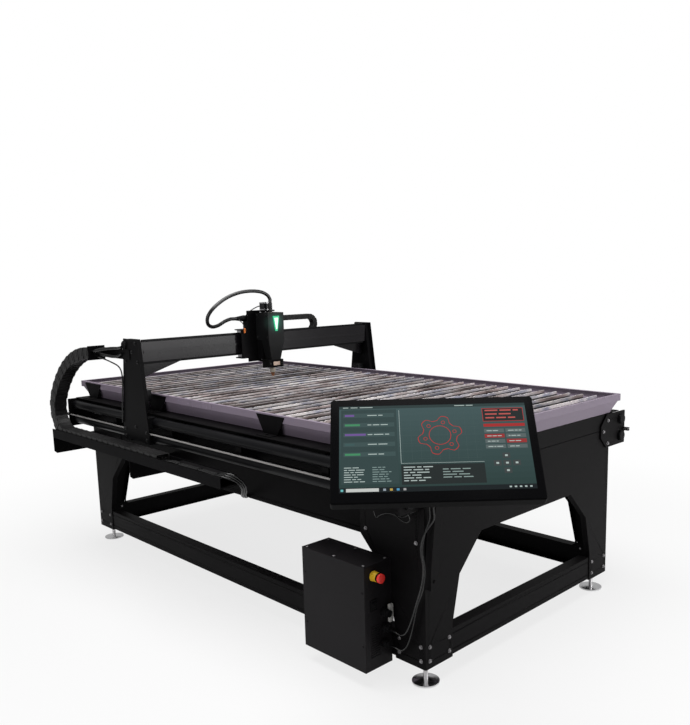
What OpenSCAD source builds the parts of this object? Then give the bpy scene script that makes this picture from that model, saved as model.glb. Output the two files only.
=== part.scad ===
// CNC plasma cutting table: a folded-sheet stand with a water pan and slats, a belt-driven gantry on
// round rails, a torch head on a powered lift, cable chains, a control box and a tilting monitor.
// Millimetres. X runs along the table, the front long side faces -Y, and Z points up from the floor.

/* [Stand] */
// Length of the stand over its end frames
stand_l = 2566; // [2200:2:3000]
// Width of the stand over its legs
stand_w = 1294; // [1100:2:1500]
// Height of the stand's top edge above the floor
stand_top = 845; // [800:1:950]
// Height of the leg ends above the floor
leg_z = 77; // [60:1:95]
// Thickness of the folded sheet
sheet = 4; // [3:0.5:6]
// Width of each face of a leg at its foot
leg_w = 152; // [130:1:180]
// Distance from the corner to where the arch meets the upper panel
arch_w = 327; // [280:1:400]
// Height of the upper panels
panel_h = 320; // [290:1:350]
// Height of the lower beams
low_beam_h = 104; // [80:1:120]
// Depth of the lower beams' flanges
low_beam_d = 50; // [30:1:70]
// Radius of a levelling foot's disc
foot_r = 52; // [35:1:60]
// Height of a levelling foot's disc
foot_h = 12; // [8:1:20]
// Radius of a levelling foot's threaded stud
stud_r = 8; // [6:0.5:11]

/* [Water pan and slats] */
// How far the pan's rim stands out past the stand
pan_over = 35; // [25:1:45]
// Height of the pan's upright rim
rim_h = 32; // [20:1:45]
// Height of the sloping wall under the rim
wall_h = 56; // [40:1:80]
// How far the pan's tub hangs below the stand's top
pan_depth = 65; // [50:1:120]
// Thickness of the pan's sheet
pan_t = 2.5; // [2:0.1:3]
// Thickness of a slat
slat_t = 4; // [3:0.1:6]
// Height of a slat
slat_h = 95; // [70:1:105]
// Distance from one slat to the next
slat_pitch = 72; // [60:1:110]
// How far the slats' tops lie below the rim
slat_drop = 10; // [4:1:25]

/* [Rails] */
// Radius of a rail tube
rail_r = 24; // [20:0.5:26]
// Wall of a rail tube
rail_wall = 3; // [2:0.5:5]
// Distance from the stand's side to the rail tubes' centre
rail_gap = 89; // [80:1:105]
// Depth of the upper rail's centre below the stand's top
rail_drop = 36; // [32:1:45]
// Distance between the upper and the lower rail
rail_pitch = 80; // [76:1:95]
// Width of the drive belt
belt_w = 14; // [12:1:20]
// Thickness of the drive belt
belt_t = 3; // [2:0.5:4]

/* [Gantry] */
// Place of the gantry along the table at rest
gantry_rest = -500; // [-700:10:600]
// Width of a tower at its top
tower_w = 136; // [124:1:160]
// Depth of a tower
tower_d = 30; // [28:1:60]
// Height of a tower's top above the upper rail
tower_rise = 406; // [380:1:480]
// Width of a tower at its base
base_w = 254; // [236:1:300]
// Thickness of a tower's sheet
tower_t = 4; // [3:0.5:5]
// Side of the square beam
beam_s = 100; // [90:1:120]
// Wall of the beam
beam_wall = 4; // [3:0.5:6]
// Number of teeth on a drive pulley
drive_teeth = 20; // [18:1:22]
// Tooth pitch of the belts
tooth_pitch = 5; // [4.5:0.1:5.5]

/* [Carriage and torch head] */
// Place of the carriage across the table at rest
carriage_rest = -45; // [-300:5:300]
// How far the head can rise from rest
lift_up = 75; // [40:1:80]
// How far the head can sink from rest
lift_down = 35; // [10:1:35]
// Width of the head's cover
head_w = 104; // [96:1:130]
// Depth of the head's cover
head_d = 64; // [56:1:90]
// Height of the head's cover
head_h = 146; // [120:1:170]
// Radius of the torch body
torch_r = 14; // [11:0.5:16]
// Radius of the lift's guide rods
rod_r = 5; // [4:0.5:7]
// Radius of the torch lead
lead_r = 8; // [6:0.5:9]

/* [Cable chains] */
// Width of the gantry chain
chain_w = 70; // [50:1:80]
// Height of the gantry chain
chain_h = 60; // [40:1:66]
// Bend radius of the gantry chain at its lower turn
chain_bend = 130; // [110:1:150]
// Bend radius of the gantry chain's rising run
chain_rise_bend = 565; // [520:5:600]
// Length of the gantry chain's straight lower run
chain_run = 990; // [700:10:1300]
// Width of the beam chain
beam_chain_w = 40; // [30:1:44]
// Height of the beam chain
beam_chain_h = 30; // [22:1:34]
// Bend radius of the beam chain
beam_chain_bend = 44; // [36:1:50]
// Length of one chain link
link_l = 45; // [36:1:60]

/* [Control box] */
// Width of the control box
box_w = 345; // [320:1:420]
// Depth of the control box without its cover
box_d = 135; // [125:1:180]
// Height of the control box
box_h = 405; // [380:1:460]
// Height of the control box's bottom above the floor
box_z = 60; // [30:1:90]
// Wall of the control box
box_t = 2; // [1.5:0.1:3]

/* [Monitor] */
// Width of the monitor
mon_w = 610; // [480:1:640]
// Height of the monitor
mon_h = 350; // [280:1:380]
// Thickness of the monitor
mon_t = 36; // [28:1:50]
// Turn of the monitor about the vertical
mon_yaw = 46; // [20:1:70]
// Tilt of the monitor from upright
mon_tilt = 43; // [20:1:50]
// Length of the monitor's arm
arm_l = 304; // [280:1:400]
// Turn of the monitor's arm about the vertical
arm_yaw = 37.5; // [20:0.5:60]

/* [Hidden] */
$fn = 48;

// Clearances and the overrun of cuts
fit = 0.3;
run_fit = 0.05;
over = 1;

// Stand
half_l = stand_l / 2;
half_w = stand_w / 2;
panel_bot = stand_top - panel_h;
leg_straight = 128;
knee_w = 43;
knee_drop = 135;
lip_d = 28;
top_lip = 10;
foot_plate_t = 6;
foot_in_x = 48;
foot_in_y = 52;
foot_hex_h = 14;
foot_hex_r = 15;
stud_over = 30;
guard_w = 88;
low_z = leg_z + foot_plate_t;
low_top = low_z + low_beam_h;
lip_gap = 4;
// Leg edge: distance from the corner against height
leg_edge = [
  [leg_w, leg_z],
  [leg_w, leg_z + leg_straight],
  [leg_w + knee_w, panel_bot - knee_drop],
  [arch_w, panel_bot]
];
lip_edge = [
  [leg_w, low_top + lip_gap],
  [leg_w, leg_z + leg_straight],
  [leg_w + knee_w, panel_bot - knee_drop],
  [arch_w, panel_bot]
];

// Bolts
bolt_r = 3;
bolt_head_r = 6;
bolt_head_h = 4;
washer_r = 8;
washer_t = 1.6;
nut_h = 5;
bolt_in = 22;
bolt_step = 109;
panel_bolt_near = 40;
bolt_rise = 25;
panel_bolt_in = 30;
panel_bolt_rise = 26;

// Pan
seat_z = stand_top + sheet;
rim_z = seat_z + wall_h;
rim_top = rim_z + rim_h;
pan_x = half_l + pan_over;
pan_y = half_w + pan_over;
pan_step = 8;
rim_lip = 14;
pan_fit = 1;
tub_x = half_l - top_lip - pan_fit;
tub_y = half_w - 2 * sheet - pan_fit;
tub_z = stand_top - pan_depth;
bracket_w = 190;
bracket_foot_w = 90;
bracket_t = 3;
bracket_foot_d = 42;
bracket_drop = 6;
bracket_in = 118;
bracket_mid = 818;
bracket_xs = [half_l - bracket_in, half_l - bracket_mid];

// Slats
slat_top = rim_top - slat_drop;
slat_bot = slat_top - slat_h;
slat_end_gap = 5;
slat_l = 2 * (tub_y - pan_t - slat_end_gap);
slat_margin = 40;
slat_span = 2 * (tub_x - pan_t - slat_margin);
slat_n = floor(slat_span / slat_pitch);
slat_xs = [for (i = [0:slat_n]) (i - slat_n / 2) * slat_pitch];
slot_depth = 40;
slot_fit = 0.3;
support_t = 5;
support_in = 35;
support_end_gap = 5;
support_ys = [-(tub_y - support_in), 0, tub_y - support_in];

// Rails and belts
rail_y = half_w + rail_gap;
rail_top_z = stand_top - rail_drop;
rail_low_z = rail_top_z - rail_pitch;
rail_zs = [rail_low_z, rail_top_z];
rail_plate_t = 8;
rail_out = 10;
rail_plate_out = 20;
rail_plate_in = 86;
rail_plate_chamfer = 50;
rail_plate_down = 39;
rail_bolt_out = 26;
rail_bolt_in = 66;
rail_bolt_up = 7;
rail_bolt_down = 20;
standoff_w = 40;
standoff_up = 18;
standoff_n = 4;
standoff_span = 1700;
belt_gap = 3;
belt_rise = 5;
belt_y = rail_y + rail_r + belt_gap;
belt_out_y = belt_y + belt_w;
belt_top = rail_low_z + rail_r + belt_rise;
belt_bot = belt_top - belt_t;
clamp_l = 28;
clamp_wall = 6;
belt_l = stand_l + 2 * (rail_plate_t + clamp_l);

// Gantry towers
plate_gap = 4;
tower_lip = 20;
tower_step = 1.5;
tower_wall_y = belt_out_y + plate_gap;
tower_face_y = tower_wall_y + tower_t;
tower_in_y = tower_face_y - tower_d;
tower_top = rail_top_z + tower_rise;
skirt_rise = 38;
skirt_z = rail_top_z + rail_r + skirt_rise;
base_lift = 7;
base_z = rail_low_z - rail_r + base_lift;
base_top_drop = 39;
base_top_z = rail_top_z - base_top_drop;
beam_below = 15;
beam_top = tower_top - beam_below;
beam_bot = beam_top - beam_s;
beam_l = 2 * tower_in_y;
gusset_l = 235;
gusset_h = 85;
gusset_t = 8;
gusset_gap = 4;
gusset_edge = 12;
shoe_l = 50;
shoe_end_gap = 10;
shoe_x = base_w / 2 - shoe_l / 2 - shoe_end_gap;
shoe_half = 27;
tunnel_gap = 3;

// Gantry drive
motor_s = 57;
motor_l = 50;
motor_boss_r = 19;
motor_boss_h = 1.6;
motor_plate_t = 4;
motor_rise = 60;
motor_z = skirt_z + motor_rise;
motor_front_y = tower_in_y;
shaft_r = 4;
shaft_in = 15;
drive_r = drive_teeth * tooth_pitch / 360 * 180 / PI;
tooth_r = tooth_pitch / 4;
flange_t = 1.5;
flange_h = 3;
loop_t = 2;
idler_r = 9;
idler_pin_r = 4;
idler_x = drive_r + 2 * fit + loop_t + idler_r;
idler_z = belt_top + 2 * fit + loop_t + idler_r;

// Beam rails and carriage
brail_w = 12;
brail_h = 10;
brail_x = 35;
brail_end = 12;
block_w = 34;
gusset_x = brail_x - block_w / 2 - gusset_gap - gusset_t;
block_h = 18;
block_l = 50;
block_lift = 4;
block_in = 15;
plate_out = 26;
plate_t = 6;
plate_x = beam_s / 2 + plate_out;
plate_left = 145;
plate_right = 90;
plate_mid_left = 105;
plate_mid_right = 58;
arm_t = 6;
arm_top_z = beam_top + block_lift + block_h;
arm_low_z = beam_bot - block_lift - block_h - arm_t;
rack_h = 14;
rack_t = 3;
pinion_teeth = 12;
pinion_r = pinion_teeth * tooth_pitch / 360 * 180 / PI;
pinion_x = beam_s / 2 + rack_t + fit + pinion_r;
pinion_y = -70;
pinion_shaft_r = 2.5;
cmotor_s = 42;
cmotor_l = 34;
rack_z = beam_top - beam_s / 2;

// Torch lift and head
lug_d = 43;
lug_w = 96;
lug_t = 8;
head_over = 114;
head_top = beam_top + head_over;
lug_over = 4;
lug_top_z = head_top + lug_over;
lug_under = 48;
lug_low_z = beam_bot - lug_under;
front_x = plate_x + plate_t;
rod_out = 22;
rod_x = front_x + rod_out;
rod_y = 34;
screw_r = 5;
slide_gap = 4;
slide_h = 70;
slide_w = 92;
slide_drop = 38;
slide_z = head_top - head_h - slide_drop;
back_gap = 2;
back_x = front_x + lug_d + back_gap;
back_t = 4;
cover_x = back_x + back_t;
cover_t = 2.5;
cover_z = head_top - head_h;
neck_h = 106;
neck_low_z = cover_z - neck_h;
neck_in_x = 1;
neck_out_x = 10;
neck_w = 60;
clamp_h = 42;
clamp_w = 96;
clamp_d = 54;
clamp_z = neck_low_z - clamp_h;
torch_out = 19;
torch_x = cover_x + torch_out;
torch_below = 10;
torch_low_z = clamp_z - torch_below;
boot_r = 12;
boot_h = 52;
boot_rib_h = 3;
boot_ribs = 8;
tip_h = 40;
tip_r = 6;
tip_mid_r = 11;
tip_bore_r = 1;
lmotor_s = 42;
lmotor_l = 42;
lens_w = 14;
lens_top_w = 42;
lens_h = 80;
lens_t = 4;
lens_low = 18;
gland_y = -97;
gland_l = 57;
gland_r = 16;
gland_end_r = 10;
gland_x = 50;
gland_rise = 85;
gland_z = beam_top + gland_rise;
gland_plate_t = 4;
gland_plate_w = 40;

// Chains
tray_below = 65;
tray_t = 3;
tray_wall = 50;
tray_gap = 15;
tray_side = 3;
tray_z = rail_low_z - rail_r - tray_below;
tray_in_y = tower_face_y + tray_gap;
tray_out_y = tray_in_y + 2 * tray_t + chain_w + 2 * tray_side;
chain_y = tray_in_y + tray_t + tray_side;
chain_low = tray_z + tray_t + fit + chain_h / 2;
chain_lean = 58;
arm_reach = 276;
arm_plate_h = 50;
arm_end_h = 72;
arm_plate_t = 4;
arm_plate_on = 60;
tray_head = 138;
tray_tail = 530;
tray_bracket_t = 4;
tray_bracket_low = 91;
tray_bracket_cut = 14;
tray_bracket_back = 120;
chain_rise_dx = chain_rise_bend * sin(chain_lean);
chain_rise_dz = chain_rise_bend * (1 - cos(chain_lean));
chain_end_x = gantry_rest - arm_reach;
// Centre of the lower turn, worked back from the chain's end on the gantry's arm
turn_x = chain_end_x - chain_rise_dx + chain_bend * sin(chain_lean);
turn_z = chain_low + chain_bend;
chain_start_x = turn_x + chain_run;
rise_x = turn_x - chain_bend * sin(chain_lean);
rise_z = turn_z + chain_bend * cos(chain_lean);
chain_end_z = rise_z + chain_rise_dz;
notch = 4;
turn_len = chain_bend * (180 - chain_lean) * PI / 180;
rise_len = chain_rise_bend * chain_lean * PI / 180;
chain_len = chain_run + turn_len + rise_len;
beam_chain_gap = 6;
beam_chain_drop = 20;
beam_chain_x = -beam_s / 2 - beam_chain_gap - beam_chain_w;
beam_chain_far = 400;
beam_chain_root = -50;
beam_chain_low = beam_top - beam_chain_drop;
shelf_t = 3;
beam_chain_start = carriage_rest + plate_right;
beam_turn_len = beam_chain_bend * PI;
beam_top_len = beam_chain_far - beam_chain_start;
beam_low_len = beam_chain_far - beam_chain_root;
beam_chain_len = beam_top_len + beam_turn_len + beam_low_len;

// Control box
box_gap = 16;
box_right = half_l - leg_w - box_gap;
box_left = box_right - box_w;
box_front = half_w + box_d;
cover_plate_t = 3;
screw_head_r = 4;
screw_head_h = 2.5;
screw_in = 14;
screw_drop = 100;
estop_in = 43;
estop_share = 0.895;
estop_z = box_z + estop_share * box_h;
estop_r = 17;
estop_d = 26;
estop_stem_r = 8;
estop_stem_l = 22;
estop_head_r = 20;
estop_head_h = 14;
estop_push = 6;
plug_r = 13;
plug_l = 34;
plug_nut_h = 8;
plug_in = 92;
plug_shares = [0.52, 0.37, 0.22];
plug_zs = [for (s = plug_shares) box_z + s * box_h];
switch_w = 22;
switch_h = 32;
switch_d = 12;
switch_frame = 5;
switch_in = 40;
switch_share = 0.62;
switch_z = box_z + switch_share * box_h;
switch_pin_r = 2;
psu_shares = [0.61, 0.36, 0.27];
psu_size = [psu_shares[0] * box_w, psu_shares[1] * box_d, psu_shares[2] * box_h];
driver_shares = [0.09, 0.59, 0.28];
driver_size = [driver_shares[0] * box_w, driver_shares[1] * box_d, driver_shares[2] * box_h];
driver_n = 4;
driver_step_share = 0.14;
driver_step = driver_step_share * box_w;
board_t = 2;
board_shares = [0.46, 0.27];
board_size = [board_shares[0] * box_w, board_t, board_shares[1] * box_h];
board_post = 10;
board_post_s = 12;
fan_s = 80;
fan_d = 25;
fan_r = 36;
fan_hub_r = 16;
fan_hub_h = 16;
fan_blade_t = 2;
fan_blades = 7;
fan_pin_r = 3;
fan_bar = 8;
fan_share = 0.27;
fan_z = box_z + fan_share * box_h;
fan_in = 72;
part_gap_share = 0.049;
part_gap = part_gap_share * box_h;
inlet_share = 0.59;
inlet_z = box_z + inlet_share * box_h;
inlet_in = 55;
inlet_size = [22, 44, 20];

// Monitor
post_w = 40;
post_d = 30;
post_in = 18;
post_z = 390;
post_rise = 113;
post_top = stand_top + post_rise;
post_pad_h = 60;
post_knee = 20;
post_bend_z = post_z + post_pad_h;
post_knee_z = stand_top - post_knee;
arm_s = 40;
hub_r = 20;
hub_h = 50;
pin_r = 6;
link_d = 40;
link_t = 6;
barrel_r = 9;
barrel_w = 60;
tilt_pin_l = 16;
ear_t = 10;
ear_r = 12;
mon_back = 20;
bezel = 26;
chin_h = 8;
screen_t = 2;
post_gap = 4;
post_out = pan_over + post_gap;
post_x = half_l + post_out + post_d / 2;
post_y = -(half_w - post_in);
swivel_x = post_x + arm_l * sin(arm_yaw);
swivel_y = post_y - arm_l * cos(arm_yaw);
arm_drop = 4;
arm_z = post_top - arm_s / 2 - arm_drop;
tilt_x = swivel_x + link_d * sin(mon_yaw);
tilt_y = swivel_y - link_d * cos(mon_yaw);
tilt_z = arm_z + hub_h / 2 + fit - barrel_r + link_t;
mon_front = mon_back + mon_t;
port_r = 9;
port_h = 26;
port_gap = 7;
port_half = 8.5;
port_up = 336;
port_z = post_z + port_up;
port_y = post_y - post_w / 2 - port_gap;
// The post leans out between its bend and its knee
function post_mid(z) = half_l + post_d / 2 + post_out * (z - post_bend_z) / (post_knee_z - post_bend_z);
port_xs = [post_mid(port_z) + port_half, post_mid(port_z) - port_half];

// Whole part's middle, so that the frame's origin lies under the middle of its box
mon_half_w = mon_w / 2;
mon_half_h = mon_h / 2;
function mon_point(u, n, v) = [
  tilt_x + u * cos(mon_yaw) + (n * cos(mon_tilt) - v * sin(mon_tilt)) * sin(mon_yaw),
  tilt_y + u * sin(mon_yaw) - (n * cos(mon_tilt) - v * sin(mon_tilt)) * cos(mon_yaw)
];
mon_corners = [
  for (u = [-mon_half_w, mon_half_w], n = [mon_back, mon_front], v = [-mon_half_h, mon_half_h])
    mon_point(u, n, v)
];
x_max = max([for (p = mon_corners) p[0]]);
y_min = min([for (p = mon_corners) p[1]]);
x_min = min([for (p = gantry_chain_outline()) p[0]]);
y_max = max(tower_face_y, rail_y + rail_plate_out + rail_r);
mid_x = (x_max + x_min) / 2;
mid_y = (y_max + y_min) / 2;

// Cords
cable_r = 5;
cable_step = 12;
cord_sides = 10;
lead_steps = 4;
cable_steps = 4;
cable_side = [0.3, 0.4, 0.1];
tray_side_way = [0.2, 1, 0.3];
// Routes of the cords, through points chosen by hand. The lead's are counted from the boot's top and
// from the gland's end, both in the carriage's frame
lead_from = [torch_x, 0, head_top + boot_h];
lead_to = [gland_x, gland_y - gland_l, gland_z];
lead_up = [
  [0, 0, 0], [0, 0, 9], [0, 0, 18], [-2, -14, 40], [-8, -50, 58], [-18, -110, 64], [-30, -180, 56],
  [-44, -250, 30]
];
lead_down = [
  [54, -167, 67], [43, -199, 23], [32, -195, -15], [22, -165, -33], [12, -121, -29], [4, -74, -10],
  [0, -36, 0], [0, -18, 0], [0, 0, 0]
];
lead_route = concat([for (p = lead_up) lead_from + p], [for (p = lead_down) lead_to + p]);
// In the tray: shares of its length past the chain's end, and of the rise from its bed to the chain's middle
tray_shares = [[0, 1], [0.03, 1], [0.06, 1], [0.17, 0.3], [0.34, 0], [0.6, 0], [0.92, 0]];
// From the tray's end to the box: shares of the way along X, Y and Z
fall_shares = [
  [0.08, 0.07, 0.01], [0.18, 0.34, 0.1], [0.26, 0.76, 0.24], [0.34, 1.18, 0.38], [0.43, 1.48, 0.49],
  [0.53, 1.6, 0.6], [0.62, 1.52, 0.73], [0.7, 1.3, 0.87], [0.77, 1.1, 0.96], [0.85, 1, 1], [0.925, 1, 1],
  [1, 1, 1]
];
cable_bed = tray_z + tray_t + cable_r + fit;
tray_end = [chain_start_x + tray_tail, -chain_y - chain_w / 2, cable_bed];
inlet_at = [box_left - inlet_size[0], -box_front + box_d - inlet_in, inlet_z];
tray_route = concat(
  [for (p = tray_shares) [chain_start_x + fit + p[0] * tray_tail, tray_end[1], cable_bed + p[1] * (chain_low - cable_bed)]],
  [for (p = fall_shares) [for (k = [0:2]) tray_end[k] + p[k] * (inlet_at[k] - tray_end[k])]]
);
// Up the leg from the two lower plugs to the ports on the monitor's post: X and Y from the leg's corner
plug_run = [[0, 0, 0], [14, 0, 0], [28, 0, 0]];
corner_points = [
  [
    [-84, -44, 205], [-62, -42, 216], [-46, -37, 246], [-30, -33, 292], [-12, -33, 345], [14, -33, 420],
    [22, -33, 484], [12, -33, 550], [26, -26, 608]
  ],
  [
    [-84, -41, 144], [-66, -31, 160], [-52, -24, 200], [-37, -20, 262], [-21, -20, 325], [8, -20, 400],
    [18, -20, 470], [8, -20, 540], [18, -17, 602]
  ]
];
port_run = [[0, 0, -68], [0, 0, -34], [0, 0, 0]];
plug_routes = [
  for (k = [0, 1]) concat(
    [for (p = plug_run) [box_right + plug_l, -box_front + plug_in, plug_zs[k + 1]] + p],
    [for (p = corner_points[k]) [half_l + p[0], p[1] - half_w, p[2]]],
    [for (p = port_run) [port_xs[k], port_y, port_z] + p]
  )
];

// Helpers
module bar(size, at) {
  translate(at) cube(size);
}
module rod_z(r, h, at) {
  translate(at) cylinder(r = r, h = h);
}
// Rods along X and Y start at the given point and run towards plus
module rod_x(r, h, at) {
  translate(at) rotate([0, 90, 0]) cylinder(r = r, h = h);
}
module rod_y_axis(r, h, at) {
  translate(at) rotate([-90, 0, 0]) cylinder(r = r, h = h);
}
// A flat outline of (Y, Z) points with its thickness along X
module slab_yz(x0, t) {
  translate([x0, 0, 0]) rotate([90, 0, 90]) linear_extrude(t) children();
}
// A flat outline of (X, Z) points with its thickness along Y
module slab_xz(y0, t) {
  translate([0, y0 + t, 0]) rotate([90, 0, 0]) linear_extrude(t) children();
}
module both_x() {
  children();
  mirror([1, 0, 0]) children();
}
module both_y() {
  children();
  mirror([0, 1, 0]) children();
}
module all_corners() {
  both_x() both_y() children();
}
function backwards(list) = [for (i = [len(list) - 1:-1:0]) list[i]];
// A solid between two upright rectangles given as [x0, x1, y0, y1]
module prismoid(a, za, b, zb) {
  polyhedron(
    points = [
      [a[0], a[2], za], [a[1], a[2], za], [a[1], a[3], za], [a[0], a[3], za],
      [b[0], b[2], zb], [b[1], b[2], zb], [b[1], b[3], zb], [b[0], b[3], zb]
    ],
    faces = [
      [0, 1, 2, 3], [7, 6, 5, 4], [4, 5, 1, 0], [5, 6, 2, 1], [6, 7, 3, 2], [7, 4, 0, 3]
    ]
  );
}
// A bolt along +X whose washer sits at the origin, with its nut past the grip
module bolt(grip) {
  rod_x(washer_r, washer_t, [0, 0, 0]);
  translate([washer_t, 0, 0]) rotate([0, 90, 0]) cylinder(r = bolt_head_r, h = bolt_head_h, $fn = 6);
  rod_x(bolt_r, grip + nut_h + over, [-grip - nut_h, 0, 0]);
  translate([-grip - nut_h, 0, 0]) rotate([0, 90, 0]) cylinder(r = bolt_head_r, h = nut_h, $fn = 6);
}
// Smooth points through a route
function blend_point(a, b, c, d, t) =
  0.5 * ((2 * b) + (c - a) * t + (2 * a - 5 * b + 4 * c - d) * t * t + (3 * b - a - 3 * c + d) * t * t * t);
function smooth(route, steps) = [
  for (i = [0:len(route) - 2], k = [0:steps - 1])
    blend_point(route[max(i - 1, 0)], route[i], route[i + 1], route[min(i + 2, len(route) - 1)], k / steps),
  route[len(route) - 1]
];
function unit(v) = v / norm(v);
function tangent(pts, i) = unit(pts[min(i + 1, len(pts) - 1)] - pts[max(i - 1, 0)]);
// The same points moved sideways on the level
function beside(pts, d) = [for (i = [0:len(pts) - 1]) pts[i] + d * unit(cross(tangent(pts, i), [0, 0, 1]))];
// A tube swept along the points, turned to keep clear of the given side direction
module tube(pts, r, side) {
  n = len(pts);
  m = cord_sides;
  rings = [
    for (i = [0:n - 1])
      let (t = tangent(pts, i), a = unit(cross(side, t)), b = cross(t, a))
        for (k = [0:m - 1]) pts[i] + r * (cos(360 * k / m) * a + sin(360 * k / m) * b)
  ];
  sides = [
    for (i = [0:n - 2], k = [0:m - 1])
      let (p = i * m + k, q = i * m + (k + 1) % m)
        each [[p, p + m, q], [q, p + m, q + m]]
  ];
  caps = [
    [for (k = [0:m - 1]) k],
    [for (k = [m - 1:-1:0]) (n - 1) * m + k]
  ];
  polyhedron(points = rings, faces = concat(sides, caps));
}

// Stand
function face_outline() = concat(
  [[-half_w, leg_z], [-half_w, stand_top], [half_w, stand_top], [half_w, leg_z]],
  [for (p = leg_edge) [half_w - p[0], p[1]]],
  [for (p = backwards(leg_edge)) [p[0] - half_w, p[1]]]
);
function flange_outline() = concat(
  [[half_l, leg_z], [half_l, stand_top], [half_l - arch_w, stand_top]],
  [for (p = backwards(leg_edge)) [half_l - p[0], p[1]]]
);
// The folded lip along a leg's inner edge, measured from the given corner
function lip_outline(corner) = concat(
  [for (p = lip_edge) [corner - p[0], p[1]]],
  [for (p = backwards(lip_edge)) [corner - p[0] + sheet, p[1]]]
);
low_bolts = [for (s = [0, 1], z = [low_z + bolt_rise, low_top - bolt_rise]) [bolt_in + s * bolt_step, z]];
panel_bolts = [
  for (s = [panel_bolt_near, arch_w - panel_bolt_in], z = [panel_bot + panel_bolt_rise, tub_z - panel_bolt_rise])
    [s, z]
];
rail_bolts = [
  [half_w - rail_bolt_out, rail_top_z + rail_bolt_up],
  [half_w - rail_bolt_in, rail_low_z + rail_pitch / 2],
  [half_w - rail_bolt_out, rail_low_z - rail_bolt_down]
];
module end_frame() {
  difference() {
    union() {
      slab_yz(half_l - sheet, sheet) polygon(face_outline());
      both_y() {
        slab_xz(-half_w, sheet) polygon(flange_outline());
        slab_yz(half_l - lip_d, lip_d) polygon(lip_outline(half_w));
        slab_xz(-half_w, lip_d) polygon(lip_outline(half_l));
        bar([leg_w, leg_w, foot_plate_t], [half_l - leg_w, half_w - leg_w, leg_z]);
      }
      bar(
        [top_lip, 2 * (half_w - 2 * sheet), 2 * sheet],
        [half_l - top_lip, -half_w + 2 * sheet, stand_top - sheet]
      );
    }
    both_y() {
      rod_z(stud_r + run_fit, foot_plate_t + 2 * over, [half_l - foot_in_x, half_w - foot_in_y, leg_z - over]);
      for (p = low_bolts) {
        rod_x(bolt_r + fit, 3 * sheet, [half_l - 2 * sheet, half_w - p[0], p[1]]);
        rod_y_axis(bolt_r + fit, 3 * sheet, [half_l - p[0], half_w - 2 * sheet, p[1]]);
      }
      for (p = panel_bolts)
        rod_y_axis(bolt_r + fit, 3 * sheet, [half_l - p[0], half_w - 2 * sheet, p[1]]);
      for (p = rail_bolts)
        rod_x(bolt_r + fit, 3 * sheet, [half_l - 2 * sheet, p[0], p[1]]);
    }
  }
}
module end_frame_front() {
  color("#1d1c1d") end_frame();
}
module end_frame_rear() {
  color("#1d1c1d") mirror([1, 0, 0]) end_frame();
}
module side_panels() {
  color("#121213") both_y() difference() {
    union() {
      bar([stand_l - 2 * sheet, sheet, panel_h], [-half_l + sheet, half_w - 2 * sheet, panel_bot]);
      bar([stand_l, guard_w + 2 * sheet, sheet], [-half_l, half_w - 2 * sheet, stand_top]);
    }
    both_x() for (p = panel_bolts)
      rod_y_axis(bolt_r + fit, 3 * sheet, [half_l - p[0], half_w - 3 * sheet, p[1]]);
  }
}
// An upright web with two flanges between the legs, as [length, web, flange] along X
module low_beam(web_l, flange_l, gap) {
  bar([web_l, sheet, low_beam_h], [-web_l / 2, gap, low_z]);
  for (z = [low_z, low_top - sheet])
    bar([flange_l, low_beam_d, sheet], [-flange_l / 2, gap + sheet - low_beam_d, z]);
}
module lower_side_beams() {
  color("#201d20") both_y() difference() {
    low_beam(stand_l - 4 * sheet - 2 * fit, stand_l - 2 * leg_w - 2 * fit, half_w - 2 * sheet);
    both_x() for (p = low_bolts)
      rod_y_axis(bolt_r + fit, 3 * sheet, [half_l - p[0], half_w - 3 * sheet, p[1]]);
  }
}
module lower_end_beams() {
  color("#181516") both_x() rotate([0, 0, -90]) difference() {
    low_beam(stand_w - 2 * sheet - 2 * fit, stand_w - 2 * leg_w - 2 * fit, half_l - 2 * sheet);
    both_x() for (p = low_bolts)
      rod_y_axis(bolt_r + fit, 3 * sheet, [half_w - p[0], half_l - 3 * sheet, p[1]]);
  }
}
// A levelling foot at a corner given by the signs of its place
module foot(sx, sy) {
  color("#2a2a2c") translate([sx * (half_l - foot_in_x), sy * (half_w - foot_in_y), 0]) {
    rotate_extrude() polygon([
      [0, 0], [foot_r, 0], [foot_r, foot_h / 2], [stud_r * 2, foot_h], [0, foot_h]
    ]);
    rod_z(stud_r, low_z + stud_over - foot_h / 2, [0, 0, foot_h / 2]);
    translate([0, 0, leg_z - foot_hex_h]) cylinder(r = foot_hex_r, h = foot_hex_h, $fn = 6);
  }
}
module foot_front_left() { foot(1, -1); }
module foot_front_right() { foot(1, 1); }
module foot_rear_left() { foot(-1, -1); }
module foot_rear_right() { foot(-1, 1); }
module frame_bolts() {
  color("#9a9a9c") all_corners() {
    for (p = low_bolts) {
      translate([half_l, half_w - p[0], p[1]]) bolt(2 * sheet);
      translate([half_l - p[0], half_w, p[1]]) rotate([0, 0, 90]) bolt(2 * sheet);
    }
    for (p = panel_bolts)
      translate([half_l - p[0], half_w, p[1]]) rotate([0, 0, 90]) bolt(2 * sheet);
    for (p = rail_bolts)
      translate([half_l + rail_plate_t, p[0], p[1]]) bolt(rail_plate_t + sheet);
  }
}

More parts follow.
